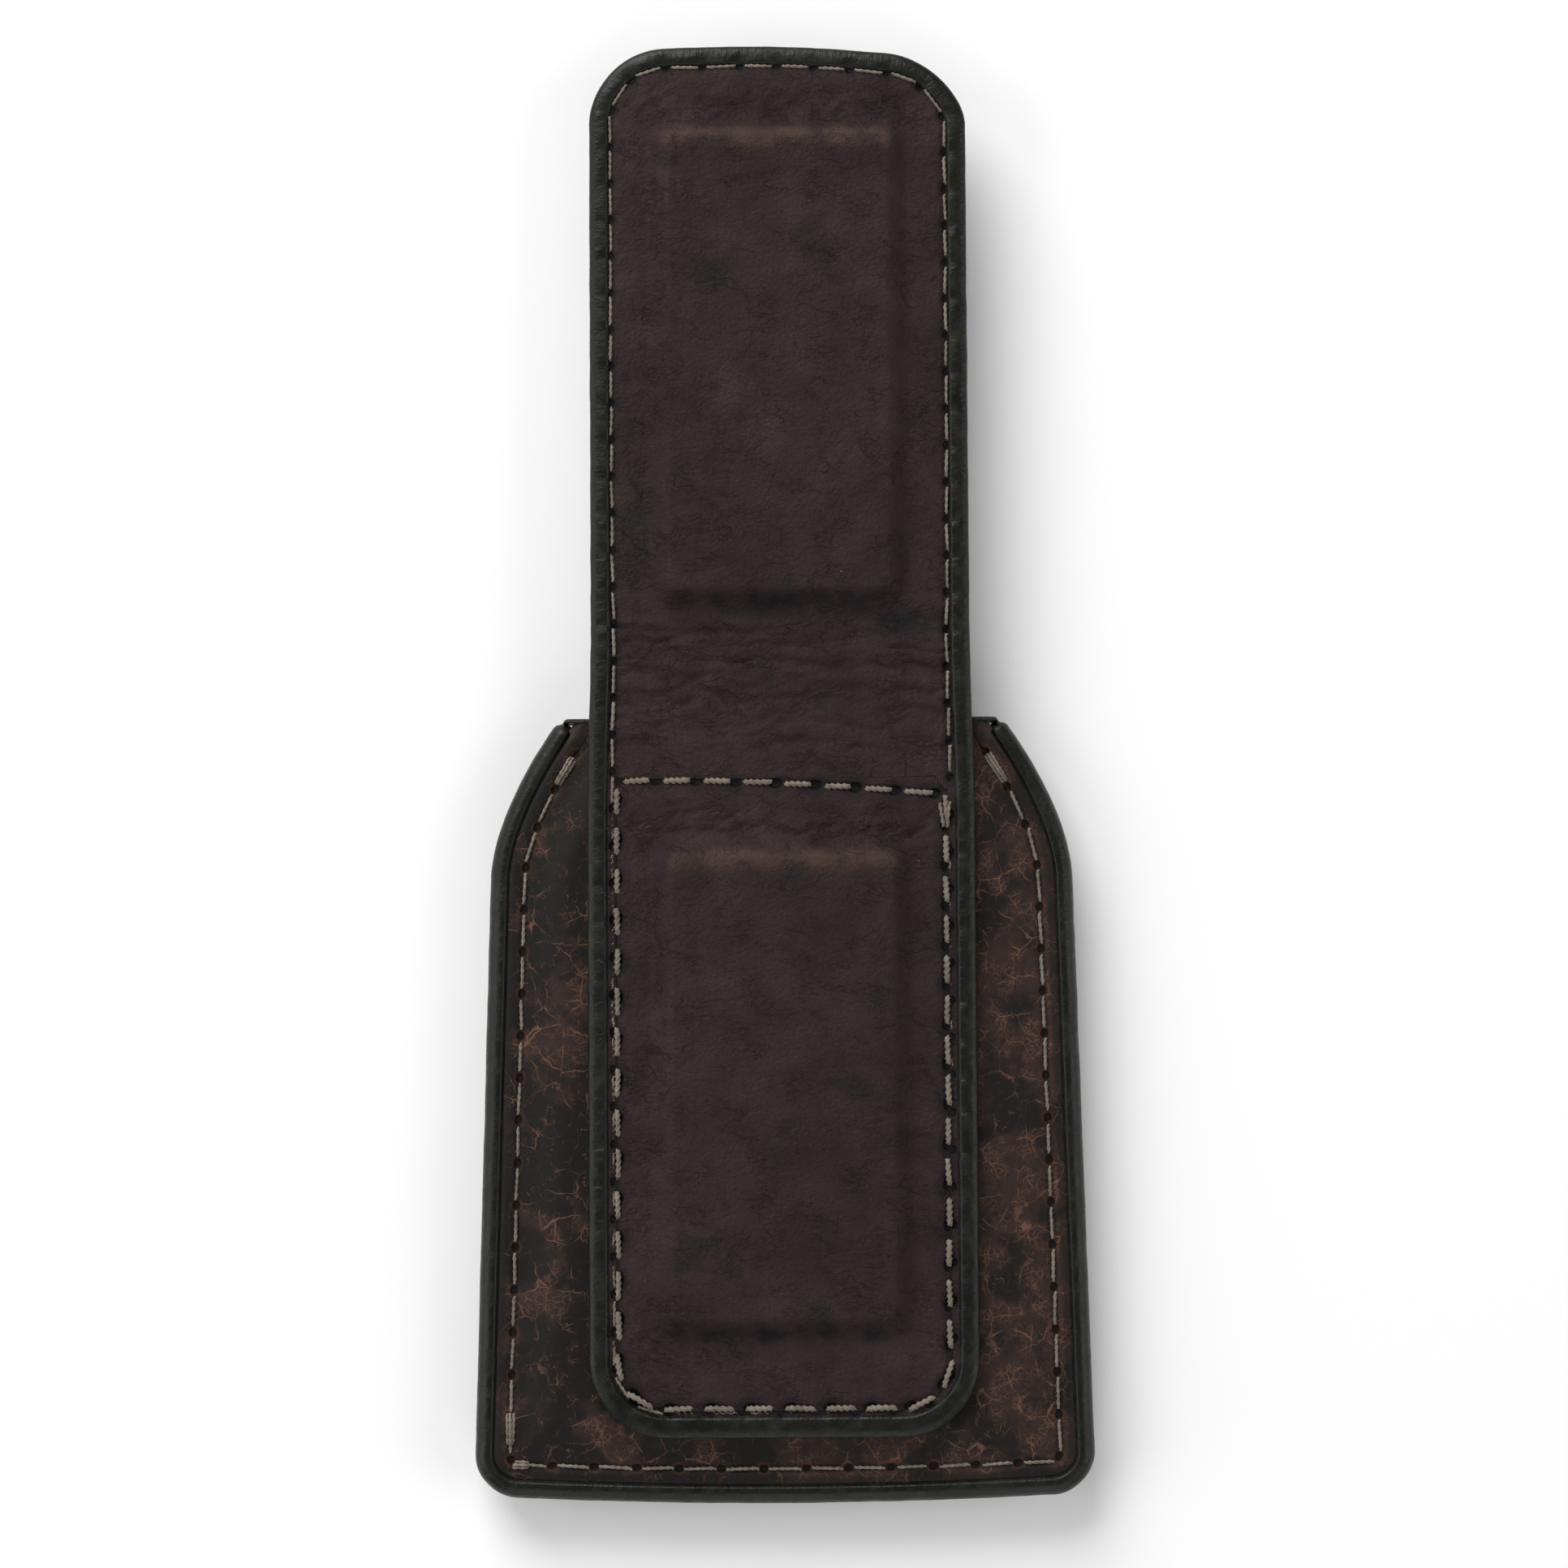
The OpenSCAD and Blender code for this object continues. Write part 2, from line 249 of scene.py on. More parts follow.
def arc(cx, cy, r, start, end, steps):
    """Points of an arc, angles in degrees."""
    a = np.radians(np.linspace(start, end, steps + 1))
    return np.stack([cx + r * np.cos(a), cy + r * np.sin(a)], 1)


def running_length(path):
    """Length of a polyline up to each of its points."""
    return np.concatenate([[0], np.cumsum(np.linalg.norm(np.diff(path, axis=0), axis=1))])


def even(points, step):
    """The polyline resampled at an even spacing."""
    run = running_length(points)
    count = max(2, int(round(run[-1] / step)) + 1)
    at = np.linspace(0, run[-1], count)
    return np.stack([np.interp(at, run, points[:, k]) for k in range(points.shape[1])], 1)


def path_length(path):
    """Length of a polyline."""
    return np.sum(np.linalg.norm(np.diff(path, axis=0), axis=1))


def normals_of(points):
    """Unit normals to the right of each heading along an open polyline."""
    heading = np.gradient(points, axis=0)
    heading /= np.linalg.norm(heading, axis=1)[:, None]
    return np.stack([heading[:, 1], -heading[:, 0]], 1)


def nearest(x, y, path):
    """Distance to a polyline, how far along it the nearest point lies, and which side (positive on its left)."""
    flat = np.stack([np.ravel(x), np.ravel(y)], 1)
    a, b = path[:-1], path[1:]
    d = b - a
    size = np.sum(d * d, 1)
    run = np.concatenate([[0], np.cumsum(np.sqrt(size))])
    best = np.full(len(flat), 1e9)
    along = np.zeros(len(flat))
    side = np.ones(len(flat))
    for k in range(len(a)):
        w = flat - a[k]
        t = np.clip(w @ d[k] / size[k], 0, 1)
        off = w - t[:, None] * d[k]
        dist = np.hypot(off[:, 0], off[:, 1])
        closer = dist < best
        best = np.where(closer, dist, best)
        along = np.where(closer, run[k] + t * math.sqrt(size[k]), along)
        side = np.where(closer, np.sign(d[k][0] * w[:, 1] - d[k][1] * w[:, 0]), side)
    shape = np.shape(x)
    return best.reshape(shape), along.reshape(shape), side.reshape(shape)


def lay(path, height):
    """The path with one more coordinate, such as its height."""
    return np.column_stack([path, height * np.ones(len(path))])


def in_fold(y):
    """1 over the fold, fading out within 1 mm past its ends."""
    return smooth(y - CUTS[0] + 1) * smooth(CUTS[-1] + 1 - y)


class Pocket:
    """The pocket's outline, levels and surfaces, in millimetres."""

    def __init__(self, sizes):
        self.bottom = COAT_LOW[1]
        self.top = BACK_HIGH[1] + 0.4
        self.half_base = sizes.base_width / MM / 2
        self.half_shoulder = sizes.shoulder_width / MM / 2
        self.half_mouth = sizes.mouth_width / MM / 2
        self.shoulder_height = sizes.shoulder_height / MM
        self.shoulder_y = self.top - self.shoulder_height
        self.radius = sizes.corner_radius / MM
        self.bow = sizes.bow / MM
        self.seam_inset = sizes.seam_inset / MM
        self.bead = sizes.bead_width / MM
        self.low, self.high = COAT_LOW[2], COAT_HIGH[2]
        self.back_rise = BACK_HIGH[2] - self.high
        self.front_rise = self.low - FRONT_LOW[2]
        self.leather = FRONT_HIGH[2] - self.low
        self.wall = self.leather + LINING_THICKNESS
        self.notch_radius, self.notch_depth = sizes.notch_radius / MM, sizes.notch_depth / MM
        self.edge = self.sides(0.0, run_on=10.0)
        # each panel's name, how far it swells, which way, and its level at the edge
        self.panels = (("back", self.back_rise, 1, self.high), ("front", self.front_rise, -1, self.low))

    def shoulder_half(self, y):
        """Half width at height y on the shoulders."""
        t = np.clip((y - self.shoulder_y) / self.shoulder_height, 0, 2)
        return self.half_shoulder - (self.half_shoulder - self.half_mouth) * t ** 1.65

    def bowed(self, points):
        """Bows the bottom edge out at its middle, fading out above it."""
        p = np.array(points, float)
        inner = self.half_base - self.radius
        lift = self.bow * np.minimum(1, (p[..., 0] / inner) ** 2)
        p[..., 1] += lift * (1 - smooth((p[..., 1] - self.bottom) / 16))
        return p

    def sides(self, inset, run_on=0.0):
        """The sewn edge, inset, from the mouth's right corner round the bottom to its left corner."""
        tip = self.top + run_on
        ys = np.linspace(tip, self.shoulder_y, 60)
        right = np.stack([self.shoulder_half(ys), ys], 1)
        r = self.radius
        corner = arc(self.half_base - r, self.bottom + r, r, 0, -90, 24)
        half = np.concatenate([right, corner, [[0.0, self.bottom]]])
        whole = np.concatenate([half, half[-2::-1] * [-1, 1]])
        whole = even(whole, 0.4)
        return self.bowed(whole + normals_of(whole) * inset)

    def half_at(self, inset, y):
        """Half width of the inset outline at height y, before the bow."""
        r = self.radius
        ys = np.linspace(self.top + 10, self.shoulder_y, 80)
        right = np.stack([self.shoulder_half(ys), ys], 1)
        corner = arc(self.half_base - r, self.bottom + r, r, 0, -90, 40)
        line = np.concatenate([right, corner])
        line = line + normals_of(line) * inset
        order = np.argsort(line[:, 1], kind="stable")
        return np.interp(y, line[order, 1], line[order, 0])

    def edge_distance(self, x, y):
        """Distance inwards from the sewn edge."""
        distance, _, _ = nearest(x, y, self.edge[::3])
        return distance

    def rows(self, inset, step, top):
        """Heights of the grid's rows, close together round the bottom corners."""
        start = self.bottom + inset
        r = self.radius - inset + 1.5
        curve = start + r * (1 - np.cos(np.radians(np.arange(0, 90, 7.5))))
        count = int((top - start - r) / step)
        return np.concatenate([curve, np.linspace(start + r, top, count)])

    def grid(self, inset, step, top, columns):
        """Points of a grid that fills the inset outline up to height top."""
        ys = self.rows(inset, step, top)
        half = self.half_at(inset, ys)
        across = np.linspace(-1, 1, columns)
        x = half[:, None] * across[None, :]
        y = np.repeat(ys[:, None], columns, 1)
        p = self.bowed(np.stack([x, y], -1))
        return p[..., 0], p[..., 1]

    def sewing_line(self):
        """The seam's path, which stops short of the mouth."""
        path = self.sides(self.seam_inset)
        return path[path[:, 1] < self.top - SEAM_STOPS_SHORT]

    def notched(self, x):
        """Height of the front panel's mouth, with the thumb notch."""
        r = self.notch_radius
        arch = self.top - self.notch_depth + r - np.sqrt(np.maximum(0, r * r - x * x))
        return np.where(np.abs(x) < r, np.minimum(self.top, arch), self.top)

    def swell(self, distance):
        """Share of the full rise at a distance from the edge."""
        return smooth((distance - self.seam_inset - 0.6) / 5.0)


class Clip:
    """The clip strap's outline and levels, in millimetres."""

    def __init__(self, sizes):
        self.bottom, self.top = STRAP_LOW[1], FLAP_HIGH[1]
        self.low, self.high = STRAP_LOW[2], STRAP_HIGH[2]
        self.half_base = sizes.base_width / MM / 2
        self.half_flap = sizes.flap_width / MM / 2
        self.radius = sizes.corner_radius / MM
        self.bead = sizes.bead_width / MM
        self.flap_seam = sizes.flap_seam_inset / MM
        self.base_seam = sizes.base_seam_inset / MM
        self.fold = (HINGES[0] + HINGES[-1]) / 2
        self.edge = self.loop(0.0)

    def half(self, y):
        """Half width of the strap at height y, corners left out."""
        return self.half_flap + (self.half_base - self.half_flap) * smooth((self.fold + 12 - y) / 24)

    def right(self, inset):
        """Right half of the outline from the flap's end to the bottom, with points on every cut."""
        r = self.radius
        top = arc(self.half_flap - r, self.top - r, r - inset, 90, 0, 24)
        bottom = arc(self.half_base - r, self.bottom + r, r - inset, 0, -90, 24)
        upper = np.linspace(self.top - r, CUTS[-1], SIDE_POINTS)[1:]
        fold = np.linspace(CUTS[-1], CUTS[0], 4 * (len(CUTS) - 1) + 1)[1:]
        lower = np.linspace(CUTS[0], self.bottom + r, SIDE_POINTS)[1:-1]
        ys = np.concatenate([upper, fold, lower])
        side = np.stack([self.half(ys) - inset, ys], 1)
        flat_top = np.linspace(0, self.half_flap - r, END_POINTS)[:-1]
        flat_bottom = np.linspace(self.half_base - r, 0, END_POINTS)[1:]
        return np.concatenate([lay(flat_top, self.top - inset), top, side, bottom,
                               lay(flat_bottom, self.bottom + inset)])

    def loop(self, inset):
        """The whole outline, clockwise from the middle of the flap's end, closed."""
        right = self.right(inset)
        return self.slanted(np.concatenate([right, right[-2::-1] * [-1, 1]]))

    def slanted(self, points):
        """Lets the flap's end fall away a little towards the right, as it was cut."""
        p = np.array(points, float)
        end = smooth((p[..., 1] - self.top + 14) / 12)
        p[..., 1] -= end * (1.5 * smooth((p[..., 0] + 6) / 34) ** 1.3 + 0.5 * (p[..., 0] / self.half_flap) ** 2)
        return p

    def seam_inset(self, y):
        """Distance of the strap's own seam from its edge."""
        return self.flap_seam + (self.base_seam - self.flap_seam) * smooth((45 - y) / 60)

    def seam(self):
        """The strap's own seam, closed, wandering a little as a sewn line does."""
        loop = self.loop(0.0)
        inset = self.seam_inset(loop[:, 1]) + 0.09 * gradient_noise(loop[:, 1] * 0.13, loop[:, 0] * 0.1, seed=5)
        n = normals_of(np.concatenate([loop[-2:-1], loop, loop[1:2]]))[1:-1]
        return loop + n * inset[:, None]

    def grid(self, inset, step, columns):
        """Points of a grid that fills the inset outline, with a row on every cut."""
        r = self.radius - inset
        turn = np.radians(np.arange(0, 90, 6))
        low = self.bottom + inset + r * (1 - np.cos(turn))
        high = (self.top - inset - r * (1 - np.cos(turn)))[::-1]
        lower = np.linspace(self.bottom + inset + r, CUTS[0], int((CUTS[0] - self.bottom - r) / step))
        upper = np.linspace(CUTS[-1], self.top - inset - r, int((self.top - r - CUTS[-1]) / step))
        per_bend = max(3, round(FOLD_PITCH / step))
        fold = np.linspace(CUTS[0], CUTS[-1], per_bend * len(HINGES) + 1)
        ys = np.concatenate([low, lower[:-1], fold, upper[1:], high])
        full = self.half(ys) - inset
        drop_low = np.clip(self.bottom + inset + r - ys, 0, r)
        drop_high = np.clip(ys - (self.top - inset - r), 0, r)
        drop = np.maximum(drop_low, drop_high)
        half = full - r + np.sqrt(np.maximum(0, r * r - drop * drop))
        x = half[:, None] * np.linspace(-1, 1, columns)[None, :]
        p = self.slanted(np.stack([x, np.repeat(ys[:, None], columns, 1)], -1))
        return p[..., 0], p[..., 1], ys


# ---- meshes ----------------------------------------------------------------------------

def surface_normals(x, y, z):
    """Upward unit normals of a grid surface."""
    p = np.stack([x, y, z], -1)
    n = np.cross(np.gradient(p, axis=1), np.gradient(p, axis=0))
    return n / np.maximum(np.linalg.norm(n, axis=-1, keepdims=True), 1e-9)


def set_point_vectors(mesh, name, values):
    """Stores a vector on every vertex."""
    made = mesh.attributes.new(name, "FLOAT_VECTOR", "POINT")
    made.data.foreach_set("vector", np.asarray(values, np.float32).ravel())


def leather_sheet(name, x, y, top, under, seam=None, rows=None):
    """A closed sheet between two grid surfaces. Its normals are those of the whole grid, so that
    sheets cut from one grid meet without a shading line."""
    first, last = rows or (0, x.shape[0] - 1)
    part = slice(first, last + 1)
    n_top, n_under = surface_normals(x, y, top), -surface_normals(x, y, under)
    ni, nj = last + 1 - first, x.shape[1]
    count = ni * nj
    points = np.concatenate([np.stack([x, y, z], -1)[part].reshape(-1, 3) for z in (top, under)])
    at = np.arange(count).reshape(ni, nj)
    a, b, c, d = at[:-1, :-1], at[:-1, 1:], at[1:, 1:], at[1:, :-1]
    up = np.stack([a, b, c, d], -1).reshape(-1, 4)
    down = np.stack([a, d, c, b], -1).reshape(-1, 4) + count
    lo, hi = at, at + count
    left = np.stack([hi[:-1, 0], lo[:-1, 0], lo[1:, 0], hi[1:, 0]], -1)
    right = np.stack([hi[1:, -1], lo[1:, -1], lo[:-1, -1], hi[:-1, -1]], -1)
    near = np.stack([lo[0, :-1], hi[0, :-1], hi[0, 1:], lo[0, 1:]], -1)
    far = np.stack([lo[-1, 1:], hi[-1, 1:], hi[-1, :-1], lo[-1, :-1]], -1)
    faces = np.concatenate([up, down, left, right, near, far])
    mesh = bpy.data.meshes.new(name)
    mesh.from_pydata((points * MM).tolist(), [], faces.tolist())
    mesh.polygons.foreach_set("use_smooth", np.ones(len(faces), bool))
    vertex_normals = np.concatenate([n_top[part].reshape(-1, 3), n_under[part].reshape(-1, 3)])
    loops = vertex_normals[faces]
    wall_start = len(up) + len(down)
    walls = points[faces[wall_start:]]
    flat = np.cross(walls[:, 1] - walls[:, 0], walls[:, 2] - walls[:, 1])
    flat /= np.maximum(np.linalg.norm(flat, axis=1, keepdims=True), 1e-9)
    loops[wall_start:] = flat[:, None, :]
    mesh.normals_split_custom_set(loops.reshape(-1, 3).tolist())
    set_point_vectors(mesh, "rest", points * MM)
    if seam is not None:
        set_point_vectors(mesh, "seam", np.concatenate([seam[part].reshape(-1, 3)] * 2))
    return mesh


def rings_along(path, across, inset, height):
    """Rings of points for swept_edge. Each row of insets and heights gives one ring, whose points lie
    that far from the path along its normals."""
    flat = path[:, None] + across[:, None] * inset[..., None]
    return np.concatenate([flat, np.broadcast_to(height, inset.shape)[..., None]], -1)


def swept_edge(name, rings, ranges=None):
    """Capped tubes through rings of points, shape (rings, profile, 3), one for each range of rings."""
    p = rings
    m = p.shape[1]
    around = np.concatenate([p, p[:, :1]], 1)
    along_step = np.gradient(p, axis=0)
    round_step = (np.roll(p, -1, 1) - np.roll(p, 1, 1))
    normal = np.cross(round_step, along_step)
    normal /= np.maximum(np.linalg.norm(normal, axis=-1, keepdims=True), 1e-9)
    run, girth = running_length(p[:, 0]), running_length(around[0])
    points, faces, loops, uvs = [], [], [], []
    offset = 0
    for first, last in ranges or [(0, len(p) - 1)]:
        ring = p[first:last + 1]
        n = normal[first:last + 1]
        count = len(ring)
        at = np.arange(count * m).reshape(count, m) + offset
        a, b = at[:-1], np.roll(at, -1, 1)[:-1]
        c, d = np.roll(at, -1, 1)[1:], at[1:]
        quads = np.stack([a, b, c, d], -1).reshape(-1, 4)
        faces += quads.tolist()
        flat_n = n.reshape(-1, 3)
        loops.append(flat_n[(quads - offset)].reshape(-1, 3))
        v = np.repeat(run[first:last][:, None], m, 1)
        v2 = np.repeat(run[first + 1:last + 1][:, None], m, 1)
        u = np.repeat(girth[:-1][None, :], count - 1, 0)
        u2 = np.repeat(girth[1:][None, :], count - 1, 0)
        uvs.append(np.stack([np.stack([u, v], -1), np.stack([u2, v], -1),
                             np.stack([u2, v2], -1), np.stack([u, v2], -1)], 2).reshape(-1, 2))
        for cap, heading in ((at[0][::-1], ring[0] - ring[1]), (at[-1], ring[-1] - ring[-2])):
            faces.append(cap.tolist())
            heading = heading.mean(0)
            loops.append(np.repeat((heading / np.linalg.norm(heading))[None, :], m, 0))
            uvs.append(np.zeros((m, 2)))
        points.append(ring.reshape(-1, 3))
        offset += count * m
    points = np.concatenate(points)
    mesh = bpy.data.meshes.new(name)
    mesh.from_pydata((points * MM).tolist(), [], faces)
    mesh.polygons.foreach_set("use_smooth", np.ones(len(faces), bool))
    mesh.normals_split_custom_set(np.concatenate(loops).tolist())
    layer = mesh.uv_layers.new(name="run")
    layer.data.foreach_set("uv", (np.concatenate(uvs) * MM).astype(np.float32).ravel())
    set_point_vectors(mesh, "rest", points * MM)
    return mesh


# ---- materials -------------------------------------------------------------------------

def new_material(name):
    """An empty node material with its node tree."""
    made = bpy.data.materials.new(name)
    made.use_nodes = True
    made.node_tree.nodes.clear()
    return made, made.node_tree


def rest_mm(tree):
    """The place of a point on the unbent piece, in millimetres."""
    rest = put(tree, "ShaderNodeAttribute", out="Vector", attribute_name="rest")
    return put(tree, "ShaderNodeVectorMath", {0: rest, "Scale": 1 / MM}, operation="SCALE")


def wandering(tree, where, size_mm, amount_mm):
    """The place moved about by noise, so that a pattern wanders."""
    swirl = put(tree, "ShaderNodeTexNoise", {"Vector": where, "Scale": 1 / size_mm, "Detail": 2.0}, out="Color")
    centred = put(tree, "ShaderNodeVectorMath", swirl, (0.5, 0.5, 0.5), operation="SUBTRACT")
    moved = put(tree, "ShaderNodeVectorMath", {0: centred, "Scale": 2 * amount_mm}, operation="SCALE")
    return put(tree, "ShaderNodeVectorMath", where, moved, operation="ADD")


def hairlines(tree, where, size_mm, stretch, width):
    """1 along long wandering lines about size_mm apart, drawn out along the axes with a small stretch."""
    drawn = put(tree, "ShaderNodeVectorMath", where, stretch, operation="MULTIPLY")
    field = put(tree, "ShaderNodeTexNoise", {"Vector": drawn, "Scale": 1 / size_mm, "Detail": 4.0,
                                             "Roughness": 0.6})
    off = put(tree, "ShaderNodeMath", field, 0.5, operation="SUBTRACT")
    off = put(tree, "ShaderNodeMath", off, operation="ABSOLUTE")
    return put(tree, "ShaderNodeMapRange", off, 0.0, width, 1.0, 0.0, interpolation_type="SMOOTHSTEP")


def close_surface(tree, ground, tints, relief, rough, specular, **sockets):
    """Lays the tints on the ground colour, adds up the relief and closes the shader. A tint is a field, the
    range over which it comes in, its full share and its colour. A relief is a field and its height in
    millimetres. The roughness is a constant, or a field with its range and the roughness at each end."""
    skin = ground
    for field, low, high, most, tint in tints:
        share = put(tree, "ShaderNodeMapRange", field, low, high, 0.0, most, interpolation_type="SMOOTHSTEP")
        skin = put(tree, "ShaderNodeMix", {0: share, 6: skin, 7: tint}, out=2, data_type="RGBA")
    height = 0.0
    for field, depth in relief:
        height = put(tree, "ShaderNodeMath", field, depth, height, operation="MULTIPLY_ADD")
    if isinstance(rough, tuple):
        rough = put(tree, "ShaderNodeMapRange", *rough, interpolation_type="SMOOTHSTEP")
    bump = put(tree, "ShaderNodeBump", {"Height": height, "Distance": MM, "Strength": 1.0})
    sockets.update({"Base Color": skin, "Roughness": rough, "Normal": bump, "Specular IOR Level": specular})
    shader = put(tree, "ShaderNodeBsdfPrincipled", sockets)
    put(tree, "ShaderNodeOutputMaterial", shader, out=None)


def seam_marks(tree, hole_width, heavy_width):
    """Needle holes, the stained leather around them, the pressed line between them and the band outside the
    seam, from the seam coordinate: x is the stitch number along the seam, y the distance across it in
    millimetres, z the stitch length, which is longest on the heavy seam."""
    seam = put(tree, "ShaderNodeAttribute", out="Vector", attribute_name="seam")
    number, offset, pitch = put(tree, "ShaderNodeSeparateXYZ", seam, out=None)
    # the distance along the seam to the nearest hole, which is slightly longer than it is wide
    along = number
    for operation, value in (("ADD", 0.5), ("FRACT", 0.0), ("SUBTRACT", 0.5), ("ABSOLUTE", 0.0),
                             ("MULTIPLY", pitch), ("MULTIPLY", 0.8)):
        along = put(tree, "ShaderNodeMath", along, value, operation=operation)
    across = put(tree, "ShaderNodeMath", offset, operation="ABSOLUTE")
    apart = put(tree, "ShaderNodeCombineXYZ", along, across)
    reach = put(tree, "ShaderNodeVectorMath", apart, out="Value", operation="LENGTH")
    width = put(tree, "ShaderNodeMapRange", pitch, 4.6, 4.8, hole_width, heavy_width)
    reach = put(tree, "ShaderNodeMath", reach, width, operation="DIVIDE")
    hole = put(tree, "ShaderNodeMapRange", reach, 0.5, 0.95, 1.0, 0.0, interpolation_type="SMOOTHSTEP")
    around = put(tree, "ShaderNodeMapRange", reach, 0.8, 2.6, 1.0, 0.0, interpolation_type="SMOOTHSTEP")
    line = put(tree, "ShaderNodeMapRange", across, 0.15, 0.75, 1.0, 0.0, interpolation_type="SMOOTHSTEP")
    outside = put(tree, "ShaderNodeMapRange", offset, 0.6, 1.4, 0.0, 1.0, interpolation_type="SMOOTHSTEP")
    return hole, around, line, outside


def crackled_cowhide(finishes):
    """Waxed cowhide with a pigmented finish that has cracked in use: smooth near-black islands,
    parted by fine cracks where the rusty bare leather shows. Satin, a little glossier on the islands."""
    made, tree = new_material("waxed_crackled_cowhide")
    crack = tuple(finishes.crack)
    where = rest_mm(tree)
    x, y, _ = put(tree, "ShaderNodeSeparateXYZ", where, out=None)
    wander = wandering(tree, wandering(tree, where, 2.8, 0.6), 0.7, 0.15)

    def net(cell, width):
        """A net of fine cracks between cells of this size, both in millimetres."""
        edge = put(tree, "ShaderNodeTexVoronoi", {"Vector": wander, "Scale": 1 / cell}, feature="DISTANCE_TO_EDGE")
        return put(tree, "ShaderNodeMapRange", edge, 0.0, width / cell, 1.0, 0.0, interpolation_type="SMOOTHSTEP")

    # worn patches some 7 mm wide, more of them towards the right
    patches = put(tree, "ShaderNodeTexNoise", {"Vector": wander, "Scale": 1 / 7.5, "Detail": 3.0, "Roughness": 0.55})
    lean = put(tree, "ShaderNodeMapRange", x, -30.0, 34.0, -0.04, 0.07)
    patches = put(tree, "ShaderNodeMath", patches, lean, operation="ADD")
    wear = put(tree, "ShaderNodeMapRange", patches, 0.42, 0.62, interpolation_type="SMOOTHSTEP")
    # each kind of crack shows only where the finish has worn that far
    cracks = 0.0
    for lines, low, high, most in ((net(3.7, 0.10), 0.34, 0.52, 0.9), (net(1.5, 0.07), 0.42, 0.62, 0.7),
                                   (hairlines(tree, where, 2.6, (1.0, 0.55, 1.0), 0.009), 0.2, 0.4, 0.7),
                                   (hairlines(tree, where, 1.7, (0.6, 1.0, 1.0), 0.011), 0.42, 0.62, 0.75)):
        worn = put(tree, "ShaderNodeMapRange", patches, low, high, 0.0, most, interpolation_type="SMOOTHSTEP")
        shown = put(tree, "ShaderNodeMath", lines, worn, operation="MULTIPLY")
        cracks = put(tree, "ShaderNodeMath", shown, cracks, operation="MAXIMUM")
    depth = put(tree, "ShaderNodeTexNoise", {"Vector": where, "Scale": 1 / 2.6})
    depth = put(tree, "ShaderNodeMapRange", depth, 0.34, 0.62, 0.1, 1.0, interpolation_type="SMOOTHSTEP")
    cracks = put(tree, "ShaderNodeMath", cracks, depth, operation="MULTIPLY")
    fine_cracks = put(tree, "ShaderNodeMath", net(0.8, 0.08), wear, operation="MULTIPLY")
    fine_cracks = put(tree, "ShaderNodeMath", fine_cracks, depth, operation="MULTIPLY")
    tone = put(tree, "ShaderNodeTexNoise", {"Vector": where, "Scale": 1 / 1.1, "Detail": 5.0, "Roughness": 0.7})
    ground = put(tree, "ShaderNodeMath", wear, tone, operation="MULTIPLY")
    # scuffed corners beside the mouth and at the bottom
    mouth = put(tree, "ShaderNodeMapRange", y, 1.5, 5.5, interpolation_type="SMOOTHSTEP")
    foot = put(tree, "ShaderNodeMapRange", y, -87.0, -84.0, 0.7, 0.0, interpolation_type="SMOOTHSTEP")
    side = put(tree, "ShaderNodeMath", x, operation="ABSOLUTE")
    side = put(tree, "ShaderNodeMapRange", side, 22.5, 25.5, interpolation_type="SMOOTHSTEP")
    scuffed = put(tree, "ShaderNodeMath", mouth, foot, operation="ADD")
    scuffed = put(tree, "ShaderNodeMath", scuffed, side, operation="MULTIPLY")
    scuffed = put(tree, "ShaderNodeMath", scuffed, tone, operation="MULTIPLY")
    hole, around, line, outside = seam_marks(tree, 0.55, 0.55)
    rust = put(tree, "ShaderNodeMath", around, tone, operation="MULTIPLY")
    grain = put(tree, "ShaderNodeTexNoise", {"Vector": where, "Scale": 1 / 0.32, "Detail": 4.0, "Roughness": 0.6})
    worn_or_cracked = put(tree, "ShaderNodeMath", wear, cracks, operation="ADD")
    close_surface(
        tree, tuple(finishes.hide),
        [(ground, 0.0, 0.6, 1.0, tuple(finishes.hide_worn)),
         (fine_cracks, 0.0, 1.0, 0.3, crack),
         (cracks, 0.0, 1.0, 0.85, crack),
         (scuffed, 0.1, 0.62, 0.8, hex_to_linear("#5d4a3e")),
         (outside, 0.0, 1.0, 0.6, hex_to_linear("#171314")),
         (rust, 0.3, 0.62, 0.7, hex_to_linear("#4a2412")),
         # painted shade in the seam's pressed groove and, near black, in the needle holes
         (line, 0.0, 1.0, 0.45, hex_to_linear("#120d0b")),
         (hole, 0.0, 1.0, 1.0, hex_to_linear("#050403"))],
        [(cracks, -0.055), (fine_cracks, -0.02), (grain, 0.035), (tone, 0.05), (hole, -0.5), (line, -0.08)],
        (worn_or_cracked, 0.0, 1.4, 0.56, 0.72), 0.15)
    return made


